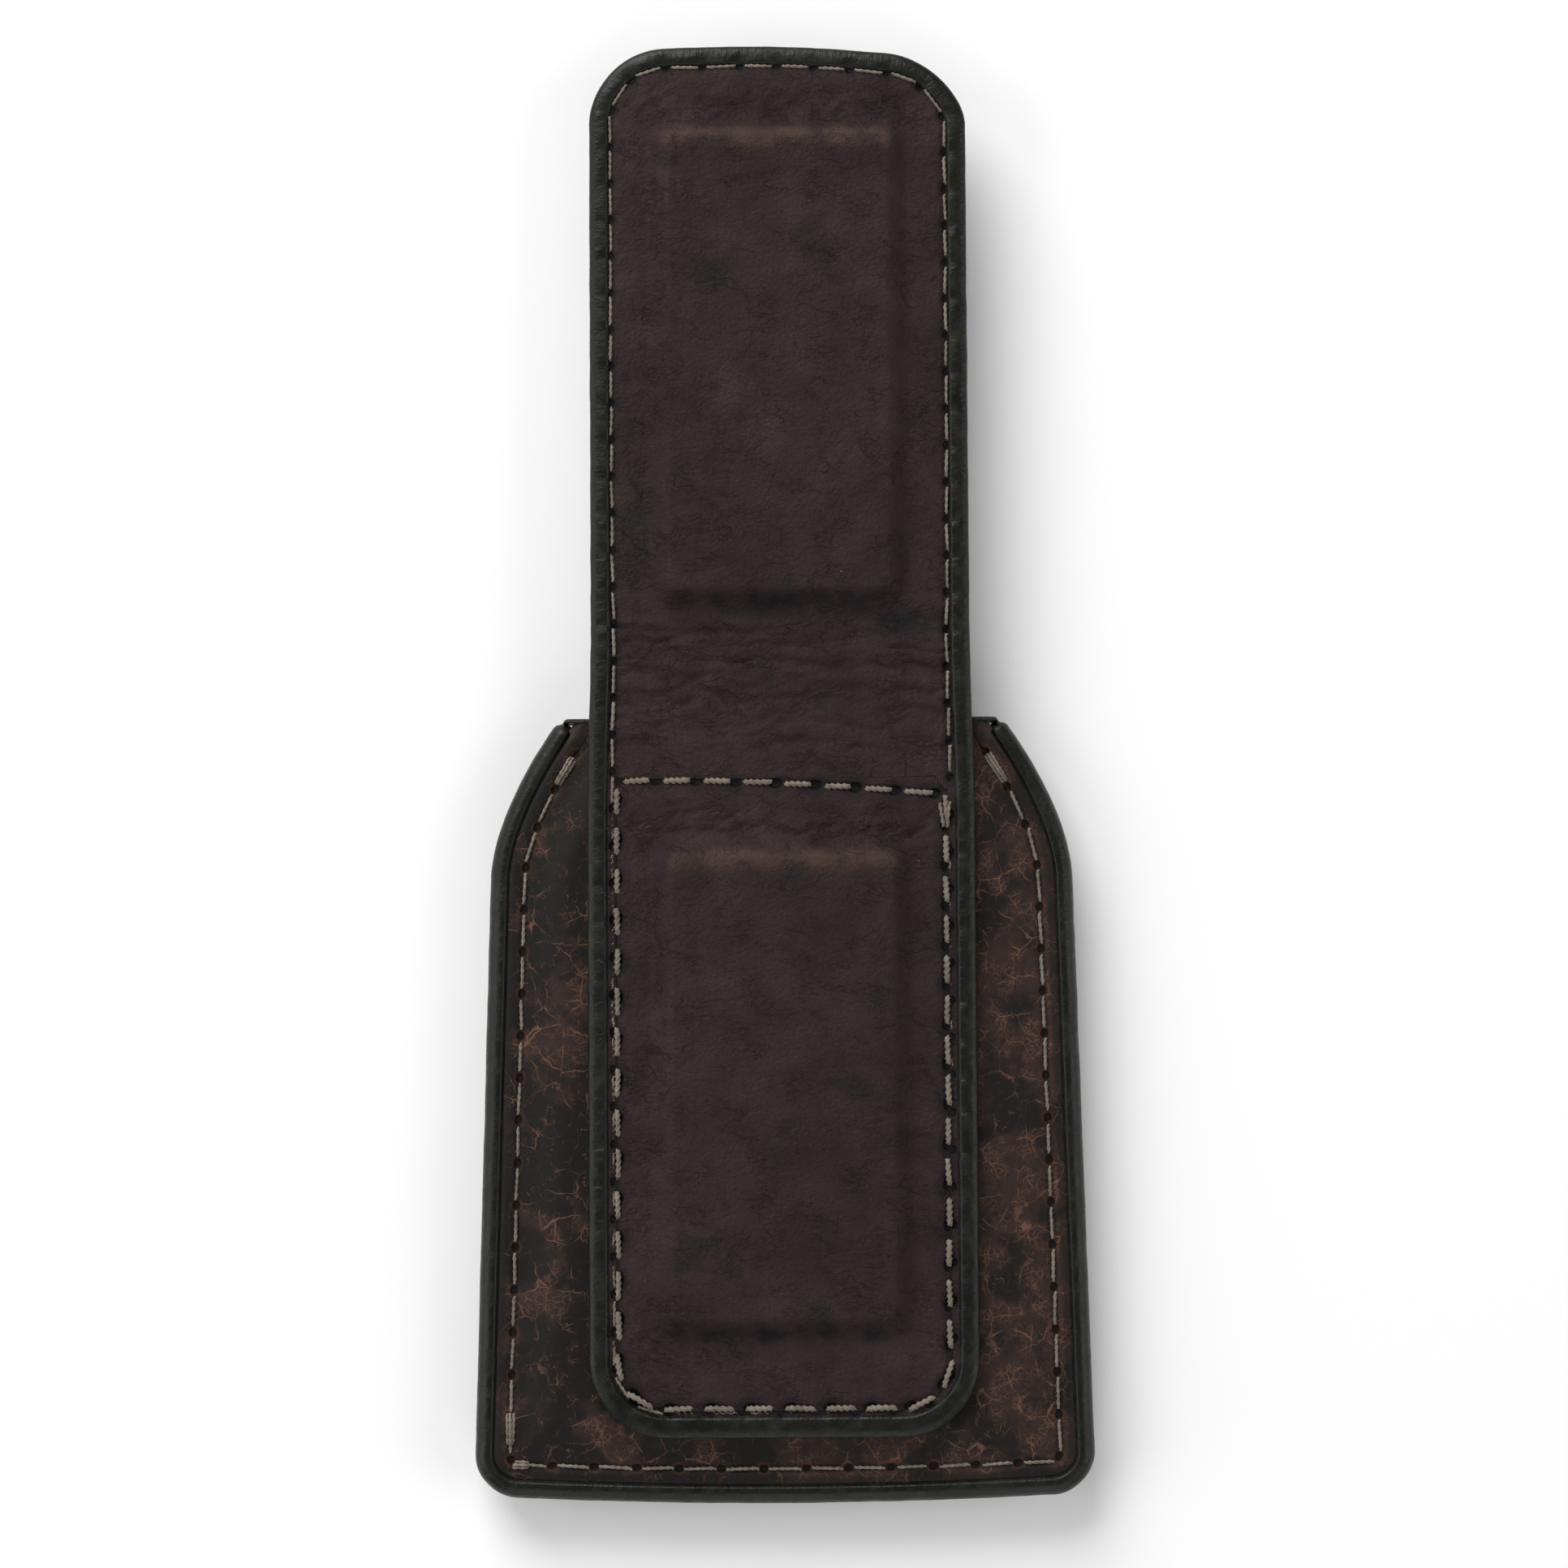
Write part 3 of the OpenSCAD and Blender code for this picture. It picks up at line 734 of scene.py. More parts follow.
def nappa_lining(finishes):
    """Soft drum-dyed lining leather, purple-brown and nearly matt, with a fine pebbled grain,
    soft creases and dark green-black stains from the edge dressing."""
    made, tree = new_material("soft_nappa_lining")
    where = rest_mm(tree)
    wander = wandering(tree, where, 6.0, 1.2)
    curled = wandering(tree, where, 3.0, 0.8)

    across = put(tree, "ShaderNodeVectorMath", wander, (0.6, 1.0, 0.6), operation="MULTIPLY")
    # uneven tones, with patches from 16 mm wide down to a grain of 0.28 mm
    patches, grain, fibre, folds, crumpled, broad, stains = (
        put(tree, "ShaderNodeTexNoise", {"Vector": place, "Scale": 1 / size, "Detail": detail, "Roughness": rough})
        for place, size, detail, rough in ((wander, 5.5, 4.0, 0.6), (where, 0.28, 4.0, 0.65),
                                           (wander, 0.9, 4.0, 0.65), (across, 1.3, 3.0, 0.6),
                                           (where, 4.0, 2.0, 0.5), (where, 16.0, 2.0, 0.5), (where, 7.0, 2.0, 0.5)))
    pebble = put(tree, "ShaderNodeTexVoronoi", {"Vector": wandering(tree, where, 0.5, 0.1), "Scale": 1 / 0.42},
                 feature="SMOOTH_F1")
    crumpled = put(tree, "ShaderNodeMapRange", crumpled, 0.37, 0.6, interpolation_type="SMOOTHSTEP")
    wrinkles, fine_wrinkles = (
        put(tree, "ShaderNodeMath", hairlines(tree, curled, size, (stretch, 1.0, 1.0), width), crumpled,
            operation="MULTIPLY")
        for size, stretch, width in ((3.4, 0.45, 0.020), (1.5, 0.8, 0.030)))
    # the mesh's tints: rubbed wear with painted highlight, painted shade, and stains
    tone = put(tree, "ShaderNodeAttribute", out="Vector", attribute_name="tone")
    rubbed_and_highlight, shaded, stained = put(tree, "ShaderNodeSeparateXYZ", tone, out=None)
    # pale specks of dust, about one in each 5 mm
    speck = put(tree, "ShaderNodeTexVoronoi", {"Vector": where, "Scale": 1 / 5.2})
    speck = put(tree, "ShaderNodeMath", 0.026, speck, operation="SUBTRACT")
    hole, around, line, _ = seam_marks(tree, 0.50, 0.80)
    dark = hex_to_linear("#120b0c")
    close_surface(
        tree, tuple(finishes.lining),
        [(patches, 0.3, 0.72, 0.42, tuple(finishes.lining_worn)),
         (broad, 0.35, 0.7, 0.35, hex_to_linear("#140d10")),
         (fibre, 0.52, 0.78, 0.45, hex_to_linear("#33231f")),
         (grain, 0.52, 0.74, 0.5, dark),
         # painted shade in the hollows of the wrinkles
         (wrinkles, 0.0, 1.0, 0.26, dark),
         (fine_wrinkles, 0.0, 1.0, 0.12, dark),
         (stains, 0.60, 0.74, 0.45, tuple(finishes.stain)),
         # rubbed wear and painted highlight along the magnets' top edges, then painted shade along their lower edges
         (rubbed_and_highlight, 0.0, 0.85, 0.85, hex_to_linear("#46372f")),
         (shaded, 0.0, 0.85, 0.85, hex_to_linear("#09090d")),
         (stained, 0.0, 0.85, 0.85, tuple(finishes.stain)),
         (speck, 0.0, 0.014, 0.75, hex_to_linear("#77706b")),
         (around, 0.0, 1.0, 0.6, hex_to_linear("#141013")),
         # painted shade in the seam's pressed groove and, near black, in the needle holes
         (line, 0.0, 1.0, 0.35, hex_to_linear("#161114")),
         (hole, 0.0, 1.0, 1.0, hex_to_linear("#030303"))],
        [(pebble, -0.13), (grain, 0.14), (folds, 0.20), (wrinkles, -0.13), (fine_wrinkles, -0.07),
         (hole, -0.5), (line, -0.1)],
        (patches, 0.3, 0.7, 0.7, 0.56), 0.14)
    return made


def edge_dressing(finishes):
    """Edge dressing built up in several coats and burnished: green-black, smooth and half glossy,
    with feed marks and rubbed, lighter stretches."""
    made, tree = new_material("burnished_edge_dressing")
    where = rest_mm(tree)
    run = put(tree, "ShaderNodeUVMap", uv_map="run")
    # feed marks across the edge, 0.5 mm apart along it
    run = put(tree, "ShaderNodeVectorMath", run, (0.35 / MM, 1 / MM, 1 / MM), operation="MULTIPLY")
    cloud, marks, bumps, rub, fine = (
        put(tree, "ShaderNodeTexNoise", {"Vector": place, "Scale": 1 / size, "Detail": detail, "Roughness": rough})
        for place, size, detail, rough in ((where, 9.0, 3.0, 0.6), (run, 0.55, 3.0, 0.6), (where, 1.6, 3.0, 0.55),
                                           (where, 3.2, 4.0, 0.65), (where, 0.35, 3.0, 0.6)))
    close_surface(
        tree, tuple(finishes.dressing),
        [(cloud, 0.4, 0.65, 0.7, hex_to_linear("#0f0f0e")),
         (rub, 0.5, 0.75, 0.4, hex_to_linear("#2b2923")),
         (fine, 0.62, 0.8, 0.5, hex_to_linear("#38352e"))],
        [(marks, 0.10), (bumps, 0.12), (fine, 0.02)],
        (bumps, 0.35, 0.7, 0.34, 0.5), 0.23)
    return made


def pocket_lining_leather():
    """Thin split leather, black-brown and matt."""
    made, tree = new_material("split_leather_lining")
    nap = put(tree, "ShaderNodeTexNoise", {"Vector": rest_mm(tree), "Scale": 1 / 0.5, "Detail": 4.0,
                                           "Roughness": 0.7})
    close_surface(tree, hex_to_linear("#1d1513"), [(nap, 0.3, 0.7, 1.0, hex_to_linear("#2f2320"))],
                  [(nap, 0.06)], 0.8, 0.25)
    return made


def welt_leather():
    """Raw-cut dense leather strip: fibrous and matt, warm brown."""
    made, tree = new_material("raw_cut_welt_leather")
    flat = put(tree, "ShaderNodeVectorMath", rest_mm(tree), (1.0, 1.0, 3.0), operation="MULTIPLY")
    fibre = put(tree, "ShaderNodeTexNoise", {"Vector": flat, "Scale": 1 / 0.6, "Detail": 4.0, "Roughness": 0.7})
    close_surface(tree, hex_to_linear("#2a1b14"), [(fibre, 0.0, 1.0, 1.0, hex_to_linear("#4e3626"))],
                  [(fibre, 0.08)], 0.85, 0.25)
    return made


def twisted_thread(finishes):
    """Twisted polyester sewing thread, grey-beige, with a soft sheen and handled, darker stretches."""
    made, tree = new_material("twisted_polyester_thread")
    where = rest_mm(tree)
    dirt = put(tree, "ShaderNodeTexNoise", {"Vector": where, "Scale": 1 / 2.4, "Detail": 3.0, "Roughness": 0.6})
    fibre = put(tree, "ShaderNodeTexNoise", {"Vector": where, "Scale": 1 / 0.12})
    close_surface(tree, tuple(finishes.thread),
                  [(dirt, 0.35, 0.7, 0.7, hex_to_linear("#4c423a")),
                   # lighter fibres, partly the thread's own colour and partly painted highlight on its twist
                   (fibre, 0.4, 0.75, 0.35, hex_to_linear("#a09385"))],
                  [(fibre, 0.03)], 0.6, 0.25, **{"Sheen Weight": 0.15, "Sheen Roughness": 0.4})
    return made


def sintered_magnet():
    """Sintered ferrite: dense, dark grey and dull, with the grind lines of its flat faces."""
    made, tree = new_material("sintered_ferrite")
    place = put(tree, "ShaderNodeTexCoord", out="Object")
    drawn = put(tree, "ShaderNodeVectorMath", place, (1 / MM, 0.08 / MM, 1 / MM), operation="MULTIPLY")
    grind = put(tree, "ShaderNodeTexNoise", {"Vector": drawn, "Scale": 1 / 0.4, "Detail": 3.0, "Roughness": 0.6})
    close_surface(tree, hex_to_linear("#3a3b3f"), [(grind, 0.0, 1.0, 1.0, hex_to_linear("#5c5d61"))],
                  [(grind, 0.03)], 0.55, 0.5)
    return made


def material(name, maker, *arguments):
    """The material of that name, made on first use."""
    return bpy.data.materials.get(name) or maker(*arguments)


# ---- pocket ----------------------------------------------------------------------------

def seam_coordinate(x, y, path, pitch):
    """Stitch number along the seam, distance across it (positive outside) and stitch length."""
    distance, along, side = nearest(x, y, path)
    total = path_length(path)
    step = total / max(1, round(total / pitch))
    return np.stack([along / step, distance * side, np.full(np.shape(x), step)], -1)


def needle_press(marks, reach):
    """How near each point is to a needle hole, from 0 to 1."""
    return bell((np.abs((marks[..., 0] + 0.5) % 1 - 0.5) * marks[..., 2]) / reach)


def seam_groove(marks, depth, half_width, hole_reach, line_share, hole_share):
    """How deep the thread's pull presses the leather: a groove along the seam, deeper at the holes."""
    return depth * bell(marks[..., 1] / half_width) * (line_share + hole_share * needle_press(marks, hole_reach))


class CASE_OT_pocket_panels(bpy.types.Operator):
    """Both panels of the pocket, each an outer leather with its lining"""

    bl_idname = "case.pocket_panels"
    bl_label = "Pocket panels"

    def execute(self, context):
        shape = Pocket(context.scene.pocket_sizes)
        seams = context.scene.seam_sizes
        hide = material("waxed_crackled_cowhide", crackled_cowhide, context.scene.finishes)
        lining = material("split_leather_lining", pocket_lining_leather)
        x, y = shape.grid(inset=shape.bead - 0.35, step=0.58, top=shape.top - 0.45, columns=121)
        d = shape.edge_distance(x, y)
        marks = seam_coordinate(x, y, shape.sewing_line()[::2], seams.pocket_pitch / MM)
        press = seam_groove(marks, 0.16, half_width=0.6, hole_reach=0.7, line_share=0.6, hole_share=0.9)
        tuck = 0.42 * (1 - smooth((d - shape.bead + 0.35) / 0.9))
        free = smooth((d - 2.4) / 2)
        for side, rise, sign, level in shape.panels:
            seed = 20 if sign > 0 else 40
            uneven = 0.16 * layered_noise(x / 13, y / 13, seed) + 0.05 * layered_noise(x / 2.4, y / 2.4, seed + 3)
            body = rise * shape.swell(d)
            flat = shape.swell(d) if sign < 0 else smooth((d - 8.2) / 1.5)
            face = level + sign * (body + uneven * free * (1 - flat) - press - tuck)
            between = level + sign * (body - shape.leather)
            inside = level + sign * (body - shape.wall)
            for part, levels, seam, finish, kind in (("", (face, between), marks, hide, "leather"),
                                                     ("_lining", (between, inside), None, lining, "lining")):
                name = side + "_panel" + part
                # the front panel faces down, so its outer level is the lower one
                mesh = leather_sheet(name, x, y, *levels[::sign], seam)
                if side == "front":
                    self.cut_notch(mesh, shape)
                finish_piece(mesh, name, finish, [f"pocket_{side}_{kind}"], "pocket")
        return {"FINISHED"}

    @staticmethod
    def cut_notch(mesh, shape):
        """Takes the half-moon thumb notch out of the front panel by pulling its rows down to it."""
        co = np.zeros(len(mesh.vertices) * 3, np.float32)
        mesh.vertices.foreach_get("co", co)
        p = co.reshape(-1, 3) / MM
        reach = 16.0
        start = shape.top - reach
        above = p[:, 1] > start
        share = (p[above, 1] - start) / reach
        p[above, 1] = start + share * (shape.notched(p[above, 0]) - start)
        cut = (p * MM).astype(np.float32).ravel()
        mesh.vertices.foreach_set("co", cut)
        mesh.update()
        mesh.attributes["rest"].data.foreach_set("vector", cut)


def rounding(t, least):
    """A quarter circle that rises from the least value at 0 to 1 at 1, to round off an end."""
    return np.sqrt(np.clip(1 - (1 - np.clip(t, 0, 1)) ** 2, least, 1))


def bead_profile(inner, low, high, swell, steps=22):
    """Cross-section of a dressed edge as inset and height: a rounded bead, flat on its inner side."""
    middle = (low + high) / 2
    half = (high - low) / 2
    a = np.radians(np.linspace(90, -90, steps))
    rise = np.sin(a)
    out = np.stack([inner - inner * np.cos(a) ** 0.8,
                    middle + (half + swell) * np.sign(rise) * np.abs(rise) ** 0.75], 1)
    out[:, 1] -= swell * 1.8 * np.sign(out[:, 1] - middle) * smooth(out[:, 0] / inner * 2 - 1.15)
    return out


class CASE_OT_pocket_edge(bpy.types.Operator):
    """The pocket's dressed edge: the bead round the sewn edge and the thin ones along the mouth"""

    bl_idname = "case.pocket_edge"
    bl_label = "Pocket edge"

    def execute(self, context):
        shape = Pocket(context.scene.pocket_sizes)
        dressing = material("burnished_edge_dressing", edge_dressing, context.scene.finishes)
        path = shape.sides(0.0)
        profile = bead_profile(shape.bead, shape.low, shape.high, swell=0.12)
        wobble = 0.07 * layered_noise(path[:, 0] / 5 + 9, path[:, 1] / 5, seed=61)
        middle = (shape.low + shape.high) / 2
        run = running_length(path)
        to_end = np.minimum(run, run[-1] - run)
        # the bead grows lower and narrower over its last 1.3 mm at the mouth
        close = rounding(to_end / 1.3, 0.4)[:, None]
        inset = profile[:, 0] * close + (1 - close) * 1.9 + 0.05 + wobble[:, None] * (profile[:, 0] < 1.6)
        height = middle + (profile[:, 1] - middle) * close
        coat = swept_edge("pocket_edge_bead", rings_along(path, normals_of(path), inset, height))
        finish_piece(coat, "pocket_edge_bead", dressing, ["pocket_edge_coat"], "pocket")
        for side, rise, sign, level in shape.panels:
            mesh = self.mouth_edge(shape, side, rise, sign, level)
            finish_piece(mesh, side + "_mouth_edge", dressing, ["pocket_edge_coat"], "pocket")
        return {"FINISHED"}

    @staticmethod
    def mouth_edge(shape, side, rise, sign, level):
        """The thin dressed edge of one panel along the mouth, which follows its arch."""
        end = shape.half_mouth - 0.5
        x = np.linspace(-end, end, 220)
        mouth = np.full(len(x), shape.top)
        path = np.stack([x, (shape.notched(x) if side == "front" else mouth) - 0.5], 1)
        middle = level + sign * (rise * shape.swell(shape.edge_distance(x, mouth)) - shape.wall / 2)
        ends = rounding((end - np.abs(x)) / 0.7, 0.001)[:, None]
        turn = np.radians(np.linspace(90, -90, 11))
        out = 0.55 * np.cos(turn) * ends - 0.15
        height = middle[:, None] + (shape.wall / 2 + 0.05) * np.sin(turn) * ends
        return swept_edge(side + "_mouth_edge", rings_along(path, -normals_of(path), out, height))


class CASE_OT_pocket_welt(bpy.types.Operator):
    """The filler strip between the panels along the sewn edge"""

    bl_idname = "case.pocket_welt"
    bl_label = "Pocket welt"

    def execute(self, context):
        shape = Pocket(context.scene.pocket_sizes)
        low, high = corners("pocket_welt")
        raw = material("raw_cut_welt_leather", welt_leather)
        path = shape.sides(0.0)
        path = path[path[:, 1] < high[1]]
        number = np.arange(len(path))
        ragged = 0.08 * np.sin(number * 0.9) + 0.05 * np.sin(number * 2.3)
        # the inner edge, which shows in the mouth, is cut by hand and a little ragged
        inset = np.array([1.2, 3.0, 4.6, 4.6, 3.0, 1.2]) + ragged[:, None] * [0, 0, 1, 1, 0, 0]
        height = np.array([high[2], high[2], high[2] - 0.1, low[2] + 0.1, low[2], low[2]])
        mesh = swept_edge("welt_strip", rings_along(path, normals_of(path), inset, height))
        finish_piece(mesh, "welt_strip", raw, ["pocket_welt"], "pocket")
        return {"FINISHED"}


# ---- clip ------------------------------------------------------------------------------

def magnet_distance(x, y):
    """Distance outside the nearer magnet's rounded rectangle, negative over it."""
    best = np.full(np.shape(x), 1e9)
    for low, high in MAGNETS:
        centre, half, r = (low + high) / 2, (high - low) / 2, 2.0
        dx = np.abs(x - centre[0]) - half[0] + r
        dy = np.abs(y - centre[1]) - half[1] + r
        q = np.hypot(np.maximum(dx, 0), np.maximum(dy, 0)) + np.minimum(np.maximum(dx, dy), 0) - r
        best = np.minimum(best, q)
    return best


def lining_relief(x, y):
    """Creases and crumples of the soft lining, in millimetres."""
    warp_x = x + 2.2 * layered_noise(x / 9, y / 9, seed=70)
    warp_y = y + 1.3 * layered_noise(x / 7 + 5, y / 7, seed=72)
    across = np.clip((23.5 - np.abs(x)) / 6, 0, 1)
    fold_zone = smooth((y - 0.5) / 3) * smooth((21 - y) / 4)
    relief = -0.34 * creases(warp_x / 17, warp_y / 2.9, seed=80, width=0.17) * fold_zone
    relief -= 0.22 * creases(warp_x / 9 + warp_y / 14, warp_y / 2.2, seed=83, width=0.19) * fold_zone
    relief += 0.13 * layered_noise(warp_x / 8, warp_y / 2.4, seed=86) * fold_zone
    for _, high in MAGNETS:
        crumple = bell((y - high[1] - 3.0) / 2.3) * smooth((20.5 - np.abs(x)) / 4)
        relief += crumple * (0.55 * layered_noise(warp_x / 3.6, warp_y / 1.5, seed=90, octaves=2)
                             - 0.42 * creases(warp_x / 4.5, warp_y / 1.9, seed=93, width=0.26))
    sides = smooth((np.abs(x) - 14.8) / 2) * smooth((21.5 - np.abs(x)) / 2)
    relief += sides * 0.16 * layered_noise(warp_x / 1.7, warp_y / 2.8, seed=96)
    corner = bell((y - MAGNETS[0][0][1] + 4) / 8) * bell((x + 15) / 6)
    slant = (x + y) / 1.414  # across the creases that run at 45 degrees beside the lower magnet
    relief -= corner * 0.5 * creases(slant / 2.9, (x - y) / 15, seed=99, width=0.24)
    over = smooth(-magnet_distance(x, y) / 2)
    relief += over * 0.05 * layered_noise(warp_x / 6, warp_y / 6, seed=101) * across
    relief += 0.035 * layered_noise(x / 1.6, y / 1.1, seed=104)
    return relief


def lining_levels(x, y, clip, own_marks, attach_marks):
    """Height of the lining's face, and its three tints: rubbed wear with painted highlight along the magnets' top
    edges and ridges, painted shade along their lower edges, and stains.
    """
    q = magnet_distance(x, y)
    rise = RAISED_TOP - clip.high
    drape = smooth((2.1 - q) / 3.1)
    z = clip.high + rise * drape + 0.05 * bell((q + 0.9) / 0.6) - 0.06 * smooth(-q / 5)
    z = z + lining_relief(x, y)
    for marks, deep in ((own_marks, 0.16), (attach_marks, 0.22)):
        z -= seam_groove(marks, deep, half_width=0.55, hole_reach=0.75, line_share=0.5, hole_share=1.1)
    rubbed_and_highlight = np.zeros(np.shape(x))
    shaded = np.zeros(np.shape(x))
    for low, high in MAGNETS:
        inside = smooth((high[0] + 1 - np.abs(x)) / 2)
        patchy = layered_noise(x / 3, y / 3, seed=110)
        # a lighter band along each magnet's top edge, rubbed wear and painted highlight where the raised edge meets
        # the light
        rubbed_and_highlight += inside * bell((y - high[1] + 1.0) / 1.4) * (0.6 + 0.6 * patchy)
        sag = 0.8 + 1.3 * gradient_noise(x / 9, y * 0, seed=112)
        shaded += inside * bell((y - low[1] + sag) / 1.6) * (0.42 + 0.6 * patchy)
    # a thin painted highlight along the raised ridge round each magnet
    rubbed_and_highlight += 0.1 * bell((q + 0.6) / 0.5)
    stained = bell((x - 15) / 5) * bell((y - 17.6) / 1.6) * 0.75 + bell((x + 17.5) / 2) * bell((y - 30) / 9) * 0.5
    return z, np.clip(np.stack([rubbed_and_highlight, shaded, stained], -1), 0, 0.85)


def attach_path(clip):
    """The attachment seam: a slanting row across the strap, then round inside the strap's edge."""
    inset = clip.base_seam + 0.55
    x = np.linspace(-clip.half_base + inset, clip.half_base - inset, 60)
    row_y = clip.fold - 6.95 - 1.95 * (np.clip(x + 12, 0, None) / 32.6) ** 1.6
    row = np.stack([x, row_y], 1)
    loop = clip.right(inset)
    down = loop[loop[:, 1] < row_y[-1] - 0.3]
    wander = 0.16 * gradient_noise(down[:, 1] * 0.16, down[:, 0] * 0.05, seed=9)
    down = down + np.column_stack([wander, np.zeros(len(down))])
    up = down[-2::-1] * [-1, 1]
    up = up[up[:, 1] < row_y[0] - 0.3]
    return np.concatenate([row, down, up, row[:1]])


def row_ranges(ys):
    """First and last row of the base, of each bending stretch and of the flap."""
    stops = [0] + [int(np.argmin(np.abs(ys - c))) for c in CUTS] + [len(ys) - 1]
    return list(zip(stops, stops[1:]))


def strap_pieces(make, material_used, label, base_nodes, fold_node, flap_nodes, stretches):
    """Makes and finishes the base, the bending stretches and the flap of one layer of the strap."""
    last = len(stretches) - 1
    for k, stretch in enumerate(stretches):
        mesh = make(stretch)
        if k == 0:
            finish_piece(mesh, label + "_base", material_used, base_nodes, "pocket")
        elif k == last:
            finish_piece(mesh, label + "_flap", material_used, flap_nodes, "flap")
        else:
            finish_piece(mesh, f"{label}_bend_{k}", material_used, [fold_node], between=k - 1)


class CASE_OT_clip_lining(bpy.types.Operator):
    """The soft lining over the magnets, in one grid cut at the fold's bends"""

    bl_idname = "case.clip_lining"
    bl_label = "Clip lining"

    def execute(self, context):
        clip = Clip(context.scene.clip_sizes)
        seams = context.scene.seam_sizes
        nappa = material("soft_nappa_lining", nappa_lining, context.scene.finishes)
        x, y, ys = clip.grid(inset=clip.bead - 0.5, step=0.34, columns=127)
        own = seam_coordinate(x, y, clip.seam()[::2], seams.strap_pitch / MM)
        attach = seam_coordinate(x, y, attach_path(clip)[::2], seams.attach_pitch / MM)
        z, tones = lining_levels(x, y, clip, own, attach)
        edge, _, _ = nearest(x, y, clip.edge[::3])
        z -= 0.45 * (1 - smooth((edge - clip.bead + 0.5) / 0.7))
        under = np.full(z.shape, clip.high - 0.8) + (RAISED_TOP - clip.high) * smooth(
            (0.4 - magnet_distance(x, y)) / 0.5)
        under = np.minimum(under, z - 0.25)
        use_attach = (np.abs(attach[..., 1]) < np.abs(own[..., 1])) & (y < CUTS[0])
        marks = np.where(use_attach[..., None], attach, own)

        def make(rows):
            mesh = leather_sheet("clip_lining", x, y, z, under, marks, rows)
            part = slice(rows[0], rows[1] + 1)
            set_point_vectors(mesh, "tone", np.concatenate([tones[part].reshape(-1, 3)] * 2))
            return mesh

        strap_pieces(make, nappa, "lining", ["clip_base_lining"], "fold_lining", ["flap_lining"],
                     row_ranges(ys))
        return {"FINISHED"}


class CASE_OT_clip_leather(bpy.types.Operator):
    """The strap's outer leather, whose face lies on the pocket and shows on the flap's outer side"""

    bl_idname = "case.clip_leather"
    bl_label = "Clip leather"

    def execute(self, context):
        clip = Clip(context.scene.clip_sizes)
        seams = context.scene.seam_sizes
        hide = material("waxed_crackled_cowhide", crackled_cowhide, context.scene.finishes)
        x, y, ys = clip.grid(inset=clip.bead - 0.6, step=0.55, columns=81)
        marks = seam_coordinate(x, y, clip.seam()[::2], seams.strap_pitch / MM)
        top = np.full(x.shape, clip.high - 0.82)
        edge, _, _ = nearest(x, y, clip.edge[::3])
        free = smooth((y - CUTS[0]) / 2)
        lower = clip.low + 0.15 * in_fold(y)
        lower = lower + free * (0.05 + 0.04 * layered_noise(x / 6, y / 6, seed=120))
        lower = lower + 0.3 * (1 - smooth((edge - clip.bead + 0.6) / 0.8)) * free
        lower = lower + free * seam_groove(marks, 0.15, half_width=0.55, hole_reach=0.7, line_share=0.6,
                                           hole_share=0.9)

        def make(rows):
            return leather_sheet("clip_leather", x, y, top, lower, marks, rows)

        strap_pieces(make, hide, "strap", ["clip_base_leather"], "fold_leather", ["flap_leather"],
                     row_ranges(ys))
        return {"FINISHED"}


class CASE_OT_clip_edge(bpy.types.Operator):
    """The strap's dressed edge, a rounded bead all round, cut at the fold's bends"""

    bl_idname = "case.clip_edge"
    bl_label = "Clip edge"

    def execute(self, context):
        clip = Clip(context.scene.clip_sizes)
        dressing = material("burnished_edge_dressing", edge_dressing, context.scene.finishes)
        loop = clip.loop(0.0)[:-1]
        n = normals_of(np.concatenate([loop[-1:], loop, loop[:1]]))[1:-1]
        profile = bead_profile(clip.bead, clip.low + 0.02, clip.high + 0.02, swell=0.06)
        pitch = context.scene.seam_sizes.strap_pitch / MM
        pinch = needle_press(seam_coordinate(loop[:, 0], loop[:, 1], clip.seam()[::2], pitch), 0.8)
        wobble = 0.06 * layered_noise(loop[:, 0] / 4 + 3, loop[:, 1] / 4, seed=65)
        ruck = 0.09 * gradient_noise(loop[:, 0] / 1.2, loop[:, 1] / 0.9, seed=67) * smooth((45 - loop[:, 1]) / 30)
        spread = 1 + 0.12 * smooth((CUTS[0] - loop[:, 1]) / 3) * bell((loop[:, 1] - clip.bottom) / 4)
        inner = smooth(profile[:, 0] / clip.bead * 1.6 - 0.3)
        upper = profile[:, 1] > (clip.low + clip.high) / 2
        inset = profile[:, 0] * spread[:, None] + 0.05 + wobble[:, None] * (1 - inner)
        height = profile[:, 1] + (ruck[:, None] - 0.16 * pinch[:, None] * inner) * upper
        rings = rings_along(loop, n, inset, np.maximum(height, clip.low + 0.02))
        rings = np.concatenate([rings, rings[:1]])
        ys = np.concatenate([loop[:, 1], loop[:1, 1]])
        half = len(loop) // 2
        right = [int(np.argmin(np.abs(ys[:half] - c))) for c in CUTS]
        left = [len(ys) - 1 - r for r in right]
        spans = [[(right[0], left[0])]]
        spans += [[(right[k + 1], right[k]), (left[k], left[k + 1])] for k in range(len(HINGES))]
        spans += [[(left[-1], len(ys) - 1), (0, right[-1])]]

        def make(span):
            return swept_edge("clip_edge", rings, ranges=span)

        strap_pieces(make, dressing, "edge", ["clip_base_edge_coat"], "fold_leather", ["flap_edge_coat"],
                     spans)
        return {"FINISHED"}


class CASE_OT_magnets(bpy.types.Operator):
    """The two magnets sealed inside the clip"""

    bl_idname = "case.magnets"
    bl_label = "Magnets"

    def execute(self, context):
        ferrite = material("sintered_ferrite", sintered_magnet)
        for name in ("base_magnet", "flap_magnet"):
            plate = frame["nodes"][name]
            plate.data.materials.clear()
            plate.data.materials.append(ferrite)
        return {"FINISHED"}


# ---- seams -----------------------------------------------------------------------------

